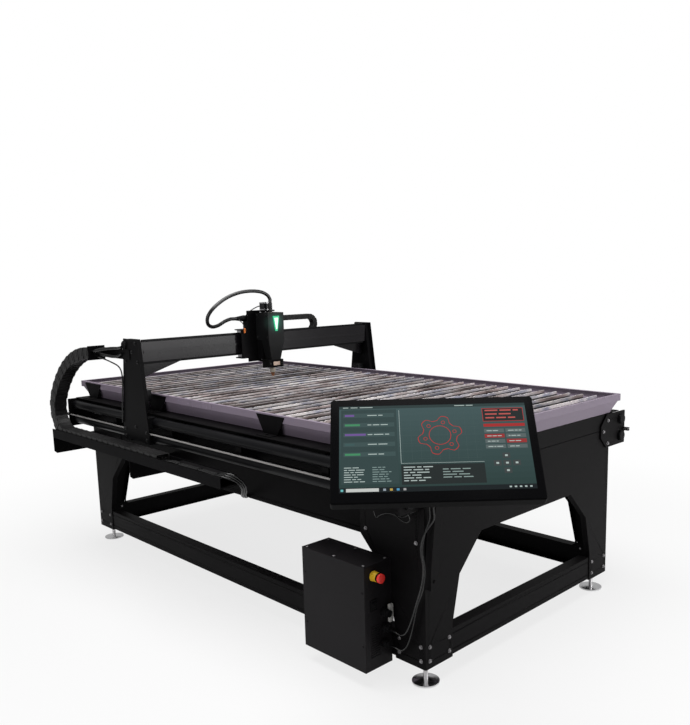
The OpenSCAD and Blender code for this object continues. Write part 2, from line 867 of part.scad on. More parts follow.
// Water pan and slats
module pan_form(inset, z_lift, lip) {
  px = pan_x - inset;
  py = pan_y - inset;
  wx = px - pan_step;
  wy = py - pan_step;
  sx = half_l - inset;
  sy = half_w - inset;
  tx = tub_x - inset;
  ty = tub_y - inset;
  rim_low = rim_z + z_lift;
  seat = seat_z + z_lift;
  tub = tub_z + z_lift;
  bar([2 * px, 2 * py, rim_top - lip - rim_low], [-px, -py, rim_low]);
  prismoid([-sx, sx, -sy, sy], seat, [-wx, wx, -wy, wy], rim_low + (z_lift > 0 ? over / 2 : 0));
  bar([2 * tx, 2 * ty, seat - tub + (z_lift > 0 ? over / 2 : 0)], [-tx, -ty, tub]);
}
module water_pan() {
  color("#6a626e") difference() {
    pan_form(0, 0, 0);
    pan_form(pan_t, pan_t, pan_t);
    bar(
      [2 * (pan_x - rim_lip), 2 * (pan_y - rim_lip), 2 * pan_t + over],
      [rim_lip - pan_x, rim_lip - pan_y, rim_top - 2 * pan_t]
    );
  }
}
module pan_brackets() {
  color("#0c0c0d") all_corners() for (x = bracket_xs) {
    slab_xz(pan_y, bracket_t) polygon([
      [x - bracket_w / 2, rim_top - bracket_drop], [x + bracket_w / 2, rim_top - bracket_drop],
      [x + bracket_foot_w / 2, seat_z], [x - bracket_foot_w / 2, seat_z]
    ]);
    bar([bracket_foot_w, bracket_foot_d, bracket_t], [x - bracket_foot_w / 2, pan_y, seat_z]);
    translate([x, pan_y + bracket_foot_d / 2, seat_z + bracket_t / 2])
      cylinder(r = bolt_head_r, h = bracket_t / 2 + bolt_head_h, $fn = 6);
  }
}
module slat_supports() {
  support_l = 2 * (tub_x - pan_t - support_end_gap);
  support_z = tub_z + pan_t;
  color("#4a4644") difference() {
    for (y = support_ys)
      bar([support_l, support_t, slat_bot + slot_depth - support_z], [-support_l / 2, y - support_t / 2, support_z]);
    for (x = slat_xs)
      bar(
        [slat_t + 2 * slot_fit, 2 * tub_y, slot_depth + over],
        [x - slat_t / 2 - slot_fit, -tub_y, slat_bot]
      );
  }
}
module slats() {
  color("#8a8084") for (x = slat_xs)
    bar([slat_t, slat_l, slat_h], [x - slat_t / 2, -slat_l / 2, slat_bot]);
}

// Rails and belts
module rail_tubes() {
  tube_l = stand_l + 2 * (rail_plate_t + rail_out);
  color("#17171a") both_y() for (z = rail_zs) difference() {
    rod_x(rail_r, tube_l, [-tube_l / 2, rail_y, z]);
    rod_x(rail_r - rail_wall, tube_l + 2 * over, [-tube_l / 2 - over, rail_y, z]);
  }
}
function rail_plate_outline() =
  let (
    out = rail_y + rail_r + rail_plate_out,
    inner = half_w - rail_plate_in,
    low = rail_low_z - rail_plate_down,
    top = stand_top
  ) [
    [out, low], [out, top], [inner + rail_plate_chamfer, top], [inner, top - rail_plate_chamfer],
    [inner, low + rail_plate_chamfer], [inner + rail_plate_chamfer, low]
  ];
module rail_holes(x0, l) {
  for (z = rail_zs) rod_x(rail_r + run_fit, l, [x0, rail_y, z]);
}
module rail_mounts() {
  block_in_y = half_w - sheet;
  color("#161617") all_corners() {
    difference() {
      slab_yz(half_l, rail_plate_t) polygon(rail_plate_outline());
      rail_holes(half_l - over, rail_plate_t + 2 * over);
      bar([rail_plate_t + 2 * over, belt_w, belt_t], [half_l - over, belt_y, belt_bot]);
      for (p = rail_bolts) rod_x(bolt_r + fit, rail_plate_t + 2 * over, [half_l - over, p[0], p[1]]);
    }
    difference() {
      bar(
        [clamp_l, belt_w, belt_t + 2 * clamp_wall],
        [half_l + rail_plate_t, belt_y, belt_bot - clamp_wall]
      );
      bar([clamp_l + 2 * over, belt_w + 2 * over, belt_t], [half_l + rail_plate_t - over, belt_y - over, belt_bot]);
    }
  }
  color("#161617") both_y() for (i = [0:standoff_n - 1])
    difference() {
      bar(
        [standoff_w, rail_y - rail_r / 2 - block_in_y, rail_pitch + 2 * standoff_up],
        [
          (i / (standoff_n - 1) - 1 / 2) * standoff_span - standoff_w / 2,
          block_in_y, rail_low_z - standoff_up
        ]
      );
      rail_holes(-half_l, stand_l);
    }
}
module gantry_belts() {
  color("#b8b4b2") both_y()
    bar([belt_l, belt_w, belt_t], [-belt_l / 2, belt_y, belt_bot]);
}

// Gantry, drawn on its right side about its own middle
module at_gantry() {
  translate([gantry_rest, 0, 0]) children();
}
// Half the width of a tower, which tapers evenly from its base to its top
function tower_half(z) = tower_w / 2 + (base_w - tower_w) / 2 * (tower_top - z) / (tower_top - base_top_z);
module tower_shape(side, drop, z0) {
  z1 = tower_top - drop;
  polygon([
    [side - tower_half(z0), z0], [tower_half(z0) - side, z0],
    [tower_half(z1) - side, z1], [side - tower_half(z1), z1]
  ]);
}
module tower() {
  difference() {
    union() {
      slab_xz(tower_wall_y, tower_t) polygon([
        [-base_w / 2, base_z], [base_w / 2, base_z], [base_w / 2, base_top_z],
        [tower_w / 2, tower_top], [-tower_w / 2, tower_top], [-base_w / 2, base_top_z]
      ]);
      difference() {
        slab_xz(tower_in_y, tower_d - tower_t / 2) tower_shape(tower_lip, tower_step, skirt_z);
        slab_xz(tower_in_y + motor_plate_t, tower_d)
          tower_shape(tower_lip + tower_t, tower_step + tower_t, skirt_z - over);
      }
      for (s = [-1, 1])
        rod_y_axis(idler_pin_r, tower_wall_y - belt_y + tower_t / 2, [s * idler_x, belt_y, idler_z]);
    }
    rod_y_axis(motor_boss_r + fit, motor_plate_t + 2 * over, [0, motor_front_y - over, motor_z]);
  }
}
module gantry_tower_left() {
  color("#1a1a1c") at_gantry() mirror([0, 1, 0]) tower();
}
module gantry_tower_right() {
  color("#1a1a1c") at_gantry() tower();
}
module gantry_beam() {
  inner = beam_s - 2 * beam_wall;
  shelf_w = beam_chain_w + beam_chain_gap + beam_wall / 2;
  shelf_z = beam_chain_low - beam_chain_h / 2 - fit - shelf_t;
  color("#4a454c") at_gantry() {
    difference() {
      bar([beam_s, beam_l, beam_s], [-beam_s / 2, -beam_l / 2, beam_bot]);
      bar([inner, beam_l + 2 * over, inner], [-inner / 2, -beam_l / 2 - over, beam_bot + beam_wall]);
    }
    both_y() slab_yz(gusset_x, gusset_t) polygon([
      [tower_in_y, beam_bot + beam_wall], [tower_in_y - gusset_l, beam_bot + beam_wall],
      [tower_in_y - gusset_l, beam_bot - gusset_edge], [tower_in_y, beam_bot - gusset_h]
    ]);
    // Shelf and root block of the beam chain, on the beam's rear face
    bar(
      [shelf_w, beam_chain_far - beam_chain_root + gusset_edge, shelf_t],
      [beam_chain_x, beam_chain_root - gusset_edge, shelf_z]
    );
    bar(
      [shelf_w, gusset_edge, beam_chain_h + shelf_t],
      [beam_chain_x, beam_chain_root - gusset_edge, shelf_z]
    );
  }
}
module beam_rails() {
  rail_l = beam_l - 2 * brail_end;
  color("#b4b4b8") at_gantry() for (z = [beam_top, beam_bot - brail_h])
    bar([brail_w, rail_l, brail_h], [brail_x - brail_w / 2, -rail_l / 2, z]);
}
module guide_shoes() {
  color("#28282b") at_gantry() both_y() both_x() difference() {
    for (z = rail_zs)
      bar([shoe_l, tower_wall_y - rail_y, 2 * shoe_half], [shoe_x - shoe_l / 2, rail_y, z - shoe_half]);
    for (z = rail_zs)
      rod_x(rail_r + fit, shoe_l + 2 * over, [shoe_x - shoe_l / 2 - over, rail_y, z]);
    bar(
      [shoe_l + 2 * over, tower_wall_y - rail_y + 2 * over, belt_t + 2 * tunnel_gap],
      [shoe_x - shoe_l / 2 - over, rail_y - over, belt_bot - tunnel_gap]
    );
  }
}
module gantry_motors() {
  color("#1c1c1e") at_gantry() both_y() difference() {
    union() {
      bar([motor_s, motor_l, motor_s], [-motor_s / 2, motor_front_y - motor_l, motor_z - motor_s / 2]);
      rod_y_axis(motor_boss_r, motor_boss_h + over, [0, motor_front_y - over, motor_z]);
    }
    rod_y_axis(shaft_r + run_fit, shaft_in + motor_boss_h + over, [0, motor_front_y - shaft_in, motor_z]);
  }
}
// A toothed wheel about +Z from the origin
module toothed_wheel(r, h, teeth) {
  difference() {
    cylinder(r = r, h = h);
    for (i = [0:teeth - 1]) rotate([0, 0, 360 * i / teeth])
      translate([r + tooth_r / 2, 0, -over]) cylinder(r = tooth_r, h = h + 2 * over, $fn = 16);
  }
}
module drive_pulley() {
  translate([0, belt_y, motor_z]) rotate([-90, 0, 0]) {
    toothed_wheel(drive_r, belt_w, drive_teeth);
    for (z = [0, belt_w - flange_t])
      rod_z(drive_r + flange_h, flange_t, [0, 0, z]);
    rod_z(shaft_r, belt_y - motor_front_y + shaft_in - over, [0, 0, motor_front_y - shaft_in + over - belt_y]);
  }
}
module drive_pulley_left() {
  color("#c8c8ca") at_gantry() mirror([0, 1, 0]) drive_pulley();
}
module drive_pulley_right() {
  color("#c8c8ca") at_gantry() drive_pulley();
}
module idler(sx) {
  translate([sx * idler_x, belt_y + fit, idler_z]) rotate([-90, 0, 0]) difference() {
    cylinder(r = idler_r, h = belt_w - fit);
    translate([0, 0, -over]) cylinder(r = idler_pin_r + run_fit, h = belt_w + 2 * over);
  }
}
module idler_left_rear() { color("#d0d0d2") at_gantry() mirror([0, 1, 0]) idler(-1); }
module idler_left_front() { color("#d0d0d2") at_gantry() mirror([0, 1, 0]) idler(1); }
module idler_right_rear() { color("#d0d0d2") at_gantry() idler(-1); }
module idler_right_front() { color("#d0d0d2") at_gantry() idler(1); }
// One quarter or half of a ring of belt, cut by a rectangle
module belt_ring(r, at, cut_size, cut_at) {
  intersection() {
    translate(at) difference() {
      circle(r = r + loop_t);
      circle(r = r);
    }
    translate(cut_at) square(cut_size);
  }
}
module belt_loops() {
  loop_r = drive_r + fit;
  turn_r = idler_r + fit;
  loop_w = belt_w - 2 * flange_t - 2 * fit;
  reach = 2 * (loop_r + loop_t);
  color("#2c2a2a") at_gantry() both_y() slab_xz(belt_y + flange_t + fit, loop_w) {
    belt_ring(loop_r, [0, motor_z], [reach, reach], [-reach / 2, motor_z]);
    for (s = [0, 1]) mirror([s, 0]) {
      translate([loop_r, idler_z]) square([loop_t, motor_z - idler_z]);
      belt_ring(
        turn_r, [idler_x, idler_z],
        [turn_r + loop_t, turn_r + loop_t], [idler_x - turn_r - loop_t, idler_z - turn_r - loop_t]
      );
    }
  }
}
module beam_belt() {
  color("#2c2a2a") at_gantry()
    bar([rack_t, beam_l - 2 * brail_end, rack_h], [beam_s / 2, brail_end - beam_l / 2, rack_z - rack_h / 2]);
}

// Carriage, drawn about the torch's place on the gantry
module at_carriage() {
  translate([gantry_rest, carriage_rest, 0]) children();
}
module carriage_plate() {
  plate_w = plate_left + plate_right;
  arm_x = brail_x - block_w / 2;
  arm_d = plate_x - arm_x + plate_t / 2;
  link_top = beam_chain_low + 2 * beam_chain_bend + beam_chain_h / 2;
  color("#2e2c2e") at_carriage() difference() {
    union() {
      bar(
        [plate_t, plate_mid_left + plate_mid_right, lug_top_z + lug_t - lug_low_z],
        [plate_x, -plate_mid_left, lug_low_z]
      );
      bar([plate_t, plate_w, arm_top_z + arm_t - arm_low_z], [plate_x, -plate_left, arm_low_z]);
      for (z = [arm_top_z, arm_low_z])
        bar([arm_d, plate_w, arm_t], [arm_x, -plate_left, z]);
      for (z = [lug_top_z, lug_low_z])
        bar([lug_d + plate_t / 2, lug_w, lug_t], [plate_x + plate_t / 2, -lug_w / 2, z]);
      bar([gland_plate_w, gland_plate_t, gland_z + gland_r - arm_top_z], [
        gland_x - gland_plate_w / 2, gland_y, arm_top_z
      ]);
      bar([arm_x + block_w / 2 - beam_chain_x, gland_plate_t, link_top - arm_top_z], [
        beam_chain_x, plate_right - gland_plate_t, arm_top_z
      ]);
    }
    for (y = [-rod_y, rod_y])
      rod_z(rod_r + run_fit, lug_top_z - lug_low_z + 2 * lug_t, [rod_x, y, lug_low_z - over]);
    rod_z(screw_r + run_fit, lug_top_z - lug_low_z + 2 * lug_t, [rod_x, 0, lug_low_z - over]);
    rod_z(pinion_shaft_r + fit, arm_t + 2 * over, [pinion_x, pinion_y, arm_top_z - over]);
    rod_y_axis(lead_r + fit, gland_plate_t + 2 * over, [gland_x, gland_y - over, gland_z]);
  }
}
module carriage_guides() {
  block_ys = [block_in - plate_left, plate_right - block_in - block_l];
  color("#8c8c90") at_carriage() {
    for (y = block_ys, top = [0, 1]) {
      z0 = top > 0 ? beam_top + block_lift : beam_bot - block_lift - block_h;
      difference() {
        bar([block_w, block_l, block_h], [brail_x - block_w / 2, y, z0]);
        bar(
          [brail_w + 2 * fit, block_l + 2 * over, brail_h + fit],
          [brail_x - brail_w / 2 - fit, y - over, top > 0 ? beam_top : beam_bot - brail_h - fit]
        );
      }
    }
    for (y = [-rod_y, rod_y])
      rod_z(rod_r, lug_top_z + lug_t - lug_low_z, [rod_x, y, lug_low_z]);
  }
}
module carriage_motor() {
  color("#1c1c1e") at_carriage() difference() {
    bar([cmotor_s, cmotor_s, cmotor_l], [pinion_x - cmotor_s / 2, pinion_y - cmotor_s / 2, arm_top_z + arm_t]);
    rod_z(pinion_shaft_r + run_fit, shaft_in + over, [pinion_x, pinion_y, arm_top_z + arm_t - over]);
    bar([cmotor_s, cmotor_s + 2 * over, cmotor_l + 2 * over], [
      plate_x, pinion_y - cmotor_s / 2 - over, arm_top_z + arm_t - over
    ]);
  }
}
module carriage_pulley() {
  pulley_z = rack_z - rack_h / 2;
  color("#c8c8ca") at_carriage() translate([pinion_x, pinion_y, pulley_z]) {
    toothed_wheel(pinion_r, rack_h, pinion_teeth);
    rod_z(pinion_shaft_r, arm_top_z + arm_t + shaft_in - over - pulley_z, [0, 0, 0]);
  }
}
module lift_motor() {
  color("#1c1c1e") at_carriage() difference() {
    bar([lmotor_s, lmotor_s, lmotor_l], [rod_x - lmotor_s / 2, -lmotor_s / 2, lug_top_z + lug_t]);
    rod_z(screw_r + run_fit, shaft_in + over, [rod_x, 0, lug_top_z + lug_t - over]);
  }
}
module lift_screw() {
  color("#b8b8bc") at_carriage()
    rod_z(screw_r, lug_top_z + lug_t + shaft_in - over - lug_low_z, [rod_x, 0, lug_low_z]);
}
module head_body() {
  slide_x = front_x + slide_gap;
  back_w = head_w - 2 * (cover_t + fit);
  color("#242426") at_carriage() difference() {
    union() {
      bar([back_x + back_t / 2 - slide_x, slide_w, slide_h], [slide_x, -slide_w / 2, slide_z]);
      bar([back_t, back_w, head_top - slide_gap - clamp_z], [back_x, -back_w / 2, clamp_z]);
      bar([clamp_d + back_t, clamp_w, clamp_h], [back_x, -clamp_w / 2, clamp_z]);
    }
    for (y = [-rod_y, rod_y])
      rod_z(rod_r + run_fit, slide_h + 2 * over, [rod_x, y, slide_z - over]);
    rod_z(screw_r + run_fit, slide_h + 2 * over, [rod_x, 0, slide_z - over]);
    rod_z(torch_r + run_fit, clamp_h + 2 * over, [torch_x, 0, clamp_z - over]);
  }
}
module cover_form(inset, extra) {
  hw = head_w / 2 - inset;
  x1 = cover_x + head_d - inset;
  nw = neck_w / 2 - inset;
  nx1 = cover_x + head_d - neck_out_x - inset;
  bar([head_d - inset + extra, 2 * hw, head_h - inset], [cover_x - extra, -hw, cover_z]);
  prismoid(
    [cover_x + neck_in_x + inset, nx1, -nw, nw], neck_low_z - extra,
    [cover_x - extra, x1, -hw, hw], cover_z + extra
  );
}
module head_cover() {
  cheek_x = front_x + slide_gap;
  color("#1b1b1d") at_carriage() difference() {
    union() {
      cover_form(0, 0);
      for (y = [-head_w / 2, head_w / 2 - cover_t])
        bar([cover_x - cheek_x + cover_t, cover_t, head_h], [cheek_x, y, cover_z]);
    }
    cover_form(cover_t, fit);
    rod_z(torch_r + fit, cover_t + 2 * over, [torch_x, 0, head_top - cover_t - over]);
  }
}
module light_lens() {
  lens_z = head_top - lens_low - lens_h / 2;
  color("#58d060") at_carriage() slab_yz(cover_x + head_d, lens_t) polygon([
    [-lens_w / 2, lens_z - lens_h / 2], [lens_w / 2, lens_z - lens_h / 2],
    [lens_top_w / 2, lens_z + lens_h / 2], [-lens_top_w / 2, lens_z + lens_h / 2]
  ]);
}
module torch() {
  rib = boot_h / boot_ribs;
  color("#2a2a2c") at_carriage() translate([torch_x, 0, 0]) {
    rod_z(torch_r, head_top - torch_low_z + boot_rib_h, [0, 0, torch_low_z]);
    for (i = [0:boot_ribs - 1])
      translate([0, 0, head_top + i * rib]) {
        cylinder(r = boot_r - boot_rib_h / 2, h = rib);
        cylinder(r = boot_r, h = rib / 2);
      }
  }
}
module torch_tip() {
  color("#c06a3a") at_carriage() translate([torch_x, 0, torch_low_z - tip_h]) difference() {
    rotate_extrude() polygon([
      [0, 0], [tip_r, 0], [tip_mid_r, tip_h / 2], [torch_r, tip_h / 2 + tip_r], [torch_r, tip_h], [0, tip_h]
    ]);
    translate([0, 0, -over]) cylinder(r = tip_bore_r, h = tip_r + over);
  }
}
module torch_lead() {
  color("#161617") at_carriage() tube(smooth(lead_route, lead_steps), lead_r, [1, 0, 0]);
}
module lead_gland() {
  color("#2a2a2c") at_carriage() translate([gland_x, gland_y, gland_z]) rotate([90, 0, 0]) difference() {
    rotate_extrude() polygon([
      [0, 0], [gland_r, 0], [gland_r, gland_l / 4], [gland_end_r, gland_l], [0, gland_l]
    ]);
    translate([0, 0, gland_l / 2]) cylinder(r = lead_r + fit, h = gland_l);
  }
}

// Cable chains
// Place and heading along the gantry chain: [x, z, heading]
function chain_at(s) =
  s < chain_run
    ? [chain_start_x - s, chain_low, 180]
    : s < chain_run + turn_len
      ? let (a = (s - chain_run) / chain_bend * 180 / PI)
          [turn_x - chain_bend * sin(a), turn_z - chain_bend * cos(a), 180 - a]
      : let (h = chain_lean - (s - chain_run - turn_len) / chain_rise_bend * 180 / PI)
          [
            rise_x + chain_rise_bend * (sin(chain_lean) - sin(h)),
            rise_z + chain_rise_bend * (cos(h) - cos(chain_lean)),
            h
          ];
// Place and heading along the beam chain, from the carriage: [y, z, heading]
function beam_chain_at(s) =
  s < beam_top_len
    ? [beam_chain_start + s, beam_chain_low + 2 * beam_chain_bend, 0]
    : s < beam_top_len + beam_turn_len
      ? let (a = (s - beam_top_len) / beam_chain_bend * 180 / PI)
          [
            beam_chain_far + beam_chain_bend * sin(a),
            beam_chain_low + beam_chain_bend * (1 + cos(a)),
            -a
          ]
      : [beam_chain_far - (s - beam_top_len - beam_turn_len), beam_chain_low, 180];
function aside(p, d) = [p[0] - d * sin(p[2]), p[1] + d * cos(p[2])];
// One edge of a chain, notched between its links
function chain_edge(places, d) = [
  for (i = [0:len(places) - 1])
    aside(places[i], d - (i % 3 == 0 ? sign(d) * notch : 0))
];
function chain_steps(length) = 3 * round(length / link_l);
function gantry_chain_places() =
  let (n = chain_steps(chain_len)) [for (i = [0:n]) chain_at(chain_len * i / n)];
function beam_chain_places() =
  let (n = chain_steps(beam_chain_len)) [for (i = [0:n]) beam_chain_at(beam_chain_len * i / n)];
function chain_outline(places, h) = concat(chain_edge(places, h / 2), backwards(chain_edge(places, -h / 2)));
function gantry_chain_outline() = chain_outline(gantry_chain_places(), chain_h);
module gantry_chain() {
  color("#0e0e0f") slab_xz(-chain_y - chain_w, chain_w) polygon(gantry_chain_outline());
}
module beam_chain() {
  color("#0e0e0f") at_gantry() slab_yz(beam_chain_x, beam_chain_w)
    polygon(chain_outline(beam_chain_places(), beam_chain_h));
}
module chain_tray() {
  tray_x = turn_x - tray_head;
  tray_l = chain_run + tray_head + tray_tail;
  tray_w = tray_out_y - tray_in_y;
  color("#171619") {
    difference() {
      bar([tray_l, tray_w, tray_wall], [tray_x, -tray_out_y, tray_z]);
      bar(
        [tray_l + 2 * over, tray_w - 2 * tray_t, tray_wall],
        [tray_x - over, tray_t - tray_out_y, tray_z + tray_t]
      );
    }
    for (x = [max(tray_x, -half_l), chain_start_x - tray_bracket_back - chain_bend])
      let (web_y = x < arch_w - half_l ? half_w : half_w - sheet)
        slab_yz(x, tray_bracket_t) polygon([
          [-web_y, tray_z - tray_bracket_low], [-web_y, tray_z + tray_t / 2],
          [-tray_out_y, tray_z + tray_t / 2], [-tray_out_y, tray_z - tray_bracket_low + tray_bracket_cut],
          [tray_bracket_cut - tray_out_y, tray_z - tray_bracket_low]
        ]);
  }
}
module chain_arm() {
  end_y = chain_y + chain_w;
  color("#161617") at_gantry() {
    bar(
      [arm_reach - tower_w / 2 + arm_plate_on, arm_plate_t, arm_plate_h],
      [fit - arm_reach, -tower_face_y - arm_plate_t, chain_end_z - arm_plate_h / 2]
    );
    bar(
      [arm_plate_t, end_y - tower_face_y, arm_end_h],
      [fit - arm_reach, -end_y, chain_end_z - arm_end_h / 2]
    );
  }
}

// Control box
module box_shell() {
  inner_w = box_w - 2 * box_t;
  inner_h = box_h - 2 * box_t;
  color("#262427") difference() {
    bar([box_w, box_d, box_h], [box_left, -box_front, box_z]);
    bar([inner_w, box_d, inner_h], [box_left + box_t, -box_front - box_t, box_z + box_t]);
    rod_x(estop_stem_r + fit + over, 3 * box_t, [box_right - 2 * box_t, estop_y(), estop_z]);
    bar([3 * box_t, switch_w, switch_h], [box_right - 2 * box_t, switch_y() - switch_w / 2, switch_z - switch_h / 2]);
    rod_x(fan_r, 3 * box_t, [box_left - box_t, fan_y(), fan_z]);
  }
}
function estop_y() = -box_front + estop_in;
function switch_y() = -box_front + switch_in;
function plug_y() = -box_front + plug_in;
function fan_y() = -box_front + fan_in;
function inlet_y() = -box_front + box_d - inlet_in;
module box_cover() {
  screw_xs = [box_left + screw_in, box_right - screw_in];
  screw_zs = [box_z + screw_drop, box_z + box_h - screw_drop];
  color("#2a282b") {
    bar([box_w, cover_plate_t, box_h], [box_left, -box_front - cover_plate_t, box_z]);
    for (x = screw_xs, z = screw_zs)
      rod_y_axis(screw_head_r, screw_head_h + over, [x, -box_front - cover_plate_t - screw_head_h, z]);
  }
}
module box_fittings() {
  color("#d8b020") difference() {
    rod_x(estop_r, estop_d, [box_right, estop_y(), estop_z]);
    rod_x(estop_stem_r + run_fit, estop_d + 2 * over, [box_right - over, estop_y(), estop_z]);
  }
  color("#2a2a2c") {
    for (z = plug_zs) {
      rod_x(plug_r, plug_l, [box_right, plug_y(), z]);
      translate([box_right, plug_y(), z]) rotate([0, 90, 0]) cylinder(r = plug_r + plug_nut_h / 2, h = plug_nut_h, $fn = 6);
    }
    difference() {
      bar(
        [switch_frame, switch_w + 2 * switch_frame, switch_h + 2 * switch_frame],
        [box_right, switch_y() - switch_w / 2 - switch_frame, switch_z - switch_h / 2 - switch_frame]
      );
      bar(
        [switch_frame + 2 * over, switch_w, switch_h],
        [box_right - over, switch_y() - switch_w / 2, switch_z - switch_h / 2]
      );
    }
    rod_y_axis(
      switch_pin_r, switch_w + switch_frame,
      [box_right + switch_frame / 2, switch_y() - switch_w / 2 - switch_frame / 2, switch_z]
    );
    bar(inlet_size, [box_left - inlet_size[0], inlet_y() - inlet_size[1] / 2, inlet_z - inlet_size[2] / 2]);
  }
}
module estop_button() {
  head_x = box_right + estop_d + estop_push + fit;
  color("#c01818") {
    rod_x(estop_stem_r, estop_stem_l + estop_push, [head_x - estop_stem_l - estop_push, estop_y(), estop_z]);
    translate([head_x, estop_y(), estop_z]) rotate([0, 90, 0]) rotate_extrude() polygon([
      [0, 0], [estop_head_r, 0], [estop_head_r, estop_head_h / 2],
      [estop_head_r - estop_head_h / 4, estop_head_h], [0, estop_head_h]
    ]);
  }
}
module power_switch() {
  sw = switch_w - 2 * fit;
  color("#141415") translate([box_right + switch_frame / 2, switch_y() + sw / 2, switch_z])
    rotate([90, 0, 0]) difference() {
      linear_extrude(sw) polygon([
        [-switch_d, -switch_h / 4], [0, -switch_h / 2 + 2 * fit], [switch_d / 2, -switch_h / 2 + switch_frame],
        [switch_d / 4, 0], [switch_d / 2, switch_h / 2 - switch_frame], [0, switch_h / 2 - 2 * fit],
        [-switch_d, switch_h / 4]
      ]);
      translate([0, 0, -over]) cylinder(r = switch_pin_r + run_fit, h = sw + 2 * over);
    }
}
module box_electronics() {
  back = -half_w - box_t;
  psu_x = box_left + box_t + part_gap + fan_d;
  board_z = box_z + box_t + part_gap / 2;
  psu_z = board_z + board_size[2] + part_gap;
  drive_z = psu_z + psu_size[2] + part_gap;
  fan_x = box_left + box_t;
  color("#a8a8aa") bar(psu_size, [psu_x, back - psu_size[1], psu_z]);
  color("#1f4f8a") for (i = [0:driver_n - 1])
    bar(driver_size, [psu_x + i * driver_step, back - driver_size[1], drive_z]);
  color("#1f6b3a") {
    bar(board_size, [psu_x + part_gap, back - board_post - board_size[1], board_z]);
    for (u = [0, 1], v = [0, 1])
      bar(
        [board_post_s, board_post, board_post_s],
        [
          psu_x + part_gap + u * (board_size[0] - board_post_s), back - board_post,
          board_z + v * (board_size[2] - board_post_s)
        ]
      );
  }
  color("#1a1a1b") {
    difference() {
      bar([fan_d, fan_s, fan_s], [fan_x, fan_y() - fan_s / 2, fan_z - fan_s / 2]);
      rod_x(fan_r, fan_d + 2 * over, [fan_x - over, fan_y(), fan_z]);
    }
    bar([fan_bar / 2, fan_s, fan_bar], [fan_x + fan_d - fan_bar / 2, fan_y() - fan_s / 2, fan_z - fan_bar / 2]);
    rod_x(fan_pin_r, fan_d - fan_bar / 4, [fan_x + over, fan_y(), fan_z]);
  }
}
module fan_rotor() {
  rotor_x = box_left + box_t + over;
  color("#303033") translate([rotor_x, fan_y(), fan_z]) rotate([0, 90, 0]) difference() {
    union() {
      cylinder(r = fan_hub_r, h = fan_hub_h);
      for (i = [0:fan_blades - 1]) rotate([0, 0, 360 * i / fan_blades])
        bar(
          [fan_r - fan_hub_r / 2 - 2 * over, fan_blade_t, fan_hub_h - 2 * over],
          [fan_hub_r / 2, -fan_blade_t / 2, over]
        );
    }
    translate([0, 0, -over]) cylinder(r = fan_pin_r + run_fit, h = fan_hub_h + 2 * over);
  }
}

// Monitor
module at_swivel() {
  translate([swivel_x, swivel_y, 0]) rotate([0, 0, mon_yaw]) children();
}
module at_tilt() {
  translate([tilt_x, tilt_y, tilt_z]) rotate([0, 0, mon_yaw]) rotate([-mon_tilt, 0, 0]) children();
}
module monitor_post() {
  color("#151516") difference() {
    union() {
      slab_xz(post_y - post_w / 2, post_w) polygon([
        [half_l, post_z], [half_l + post_d, post_z], [half_l + post_d, post_bend_z],
        [half_l + post_out + post_d, post_knee_z], [half_l + post_out + post_d, post_top],
        [half_l + post_out, post_top], [half_l + post_out, post_knee_z], [half_l, post_bend_z]
      ]);
      rod_x(bolt_head_r, bolt_head_h + over, [half_l + post_d - over, post_y, post_z + post_pad_h / 2]);
      translate([post_x, post_y, arm_z]) rotate([0, 0, arm_yaw])
        bar([arm_s, arm_l, arm_s], [-arm_s / 2, -arm_l, -arm_s / 2]);
      rod_z(hub_r, hub_h, [swivel_x, swivel_y, arm_z - hub_h / 2]);
      for (x = port_xs)
        rod_z(port_r, port_h, [x, port_y, port_z]);
    }
    rod_z(pin_r + run_fit, hub_h + 2 * over, [swivel_x, swivel_y, arm_z - hub_h / 2 - over]);
  }
}
module monitor_bracket() {
  top = arm_z + hub_h / 2 + fit;
  color("#1d1d1f") {
    at_swivel() {
      rod_z(pin_r, hub_h + link_t / 2, [0, 0, arm_z - hub_h / 2]);
      rod_z(hub_r, link_t, [0, 0, top]);
      bar([barrel_w / 2, link_d, link_t], [-barrel_w / 4, -link_d, top]);
      rod_x(barrel_r, barrel_w, [-barrel_w / 2, -link_d, tilt_z]);
      rod_x(pin_r, barrel_w + 2 * tilt_pin_l, [-barrel_w / 2 - tilt_pin_l, -link_d, tilt_z]);
    }
  }
}
module monitor_case() {
  ear_x = barrel_w / 2 + fit;
  color("#0f0f10") at_tilt() difference() {
    union() {
      bar([mon_w, mon_t, mon_h], [-mon_half_w, -mon_front, -mon_half_h]);
      for (s = [-ear_x - ear_t, ear_x]) {
        rod_x(ear_r, ear_t, [s, 0, 0]);
        bar([ear_t, mon_back + mon_t / 2, 2 * ear_r], [s, -mon_back - mon_t / 2, -ear_r]);
      }
    }
    bar(
      [mon_w - 2 * bezel, screen_t + over, mon_h - 2 * bezel - chin_h],
      [bezel - mon_half_w, -mon_front - over, bezel + chin_h - mon_half_h]
    );
    rod_x(pin_r + run_fit, barrel_w + 4 * tilt_pin_l, [-barrel_w / 2 - 2 * tilt_pin_l, 0, 0]);
  }
}
module monitor_screen() {
  color("#4d6465") at_tilt() bar(
    [mon_w - 2 * bezel, screen_t, mon_h - 2 * bezel - chin_h],
    [bezel - mon_half_w, -mon_front, bezel + chin_h - mon_half_h]
  );
}

// Cables that lie in the tray and run to the control box, and from the box to the monitor's post
module signal_cables() {
  color("#101011") {
    for (k = [-1, 0, 1])
      tube(beside(smooth(tray_route, cable_steps), k * cable_step), cable_r, tray_side_way);
    for (route = plug_routes)
      tube(smooth(route, cable_steps), cable_r, cable_side);
  }
}

module place() {
  translate([-mid_x, -mid_y, 0]) children();
}

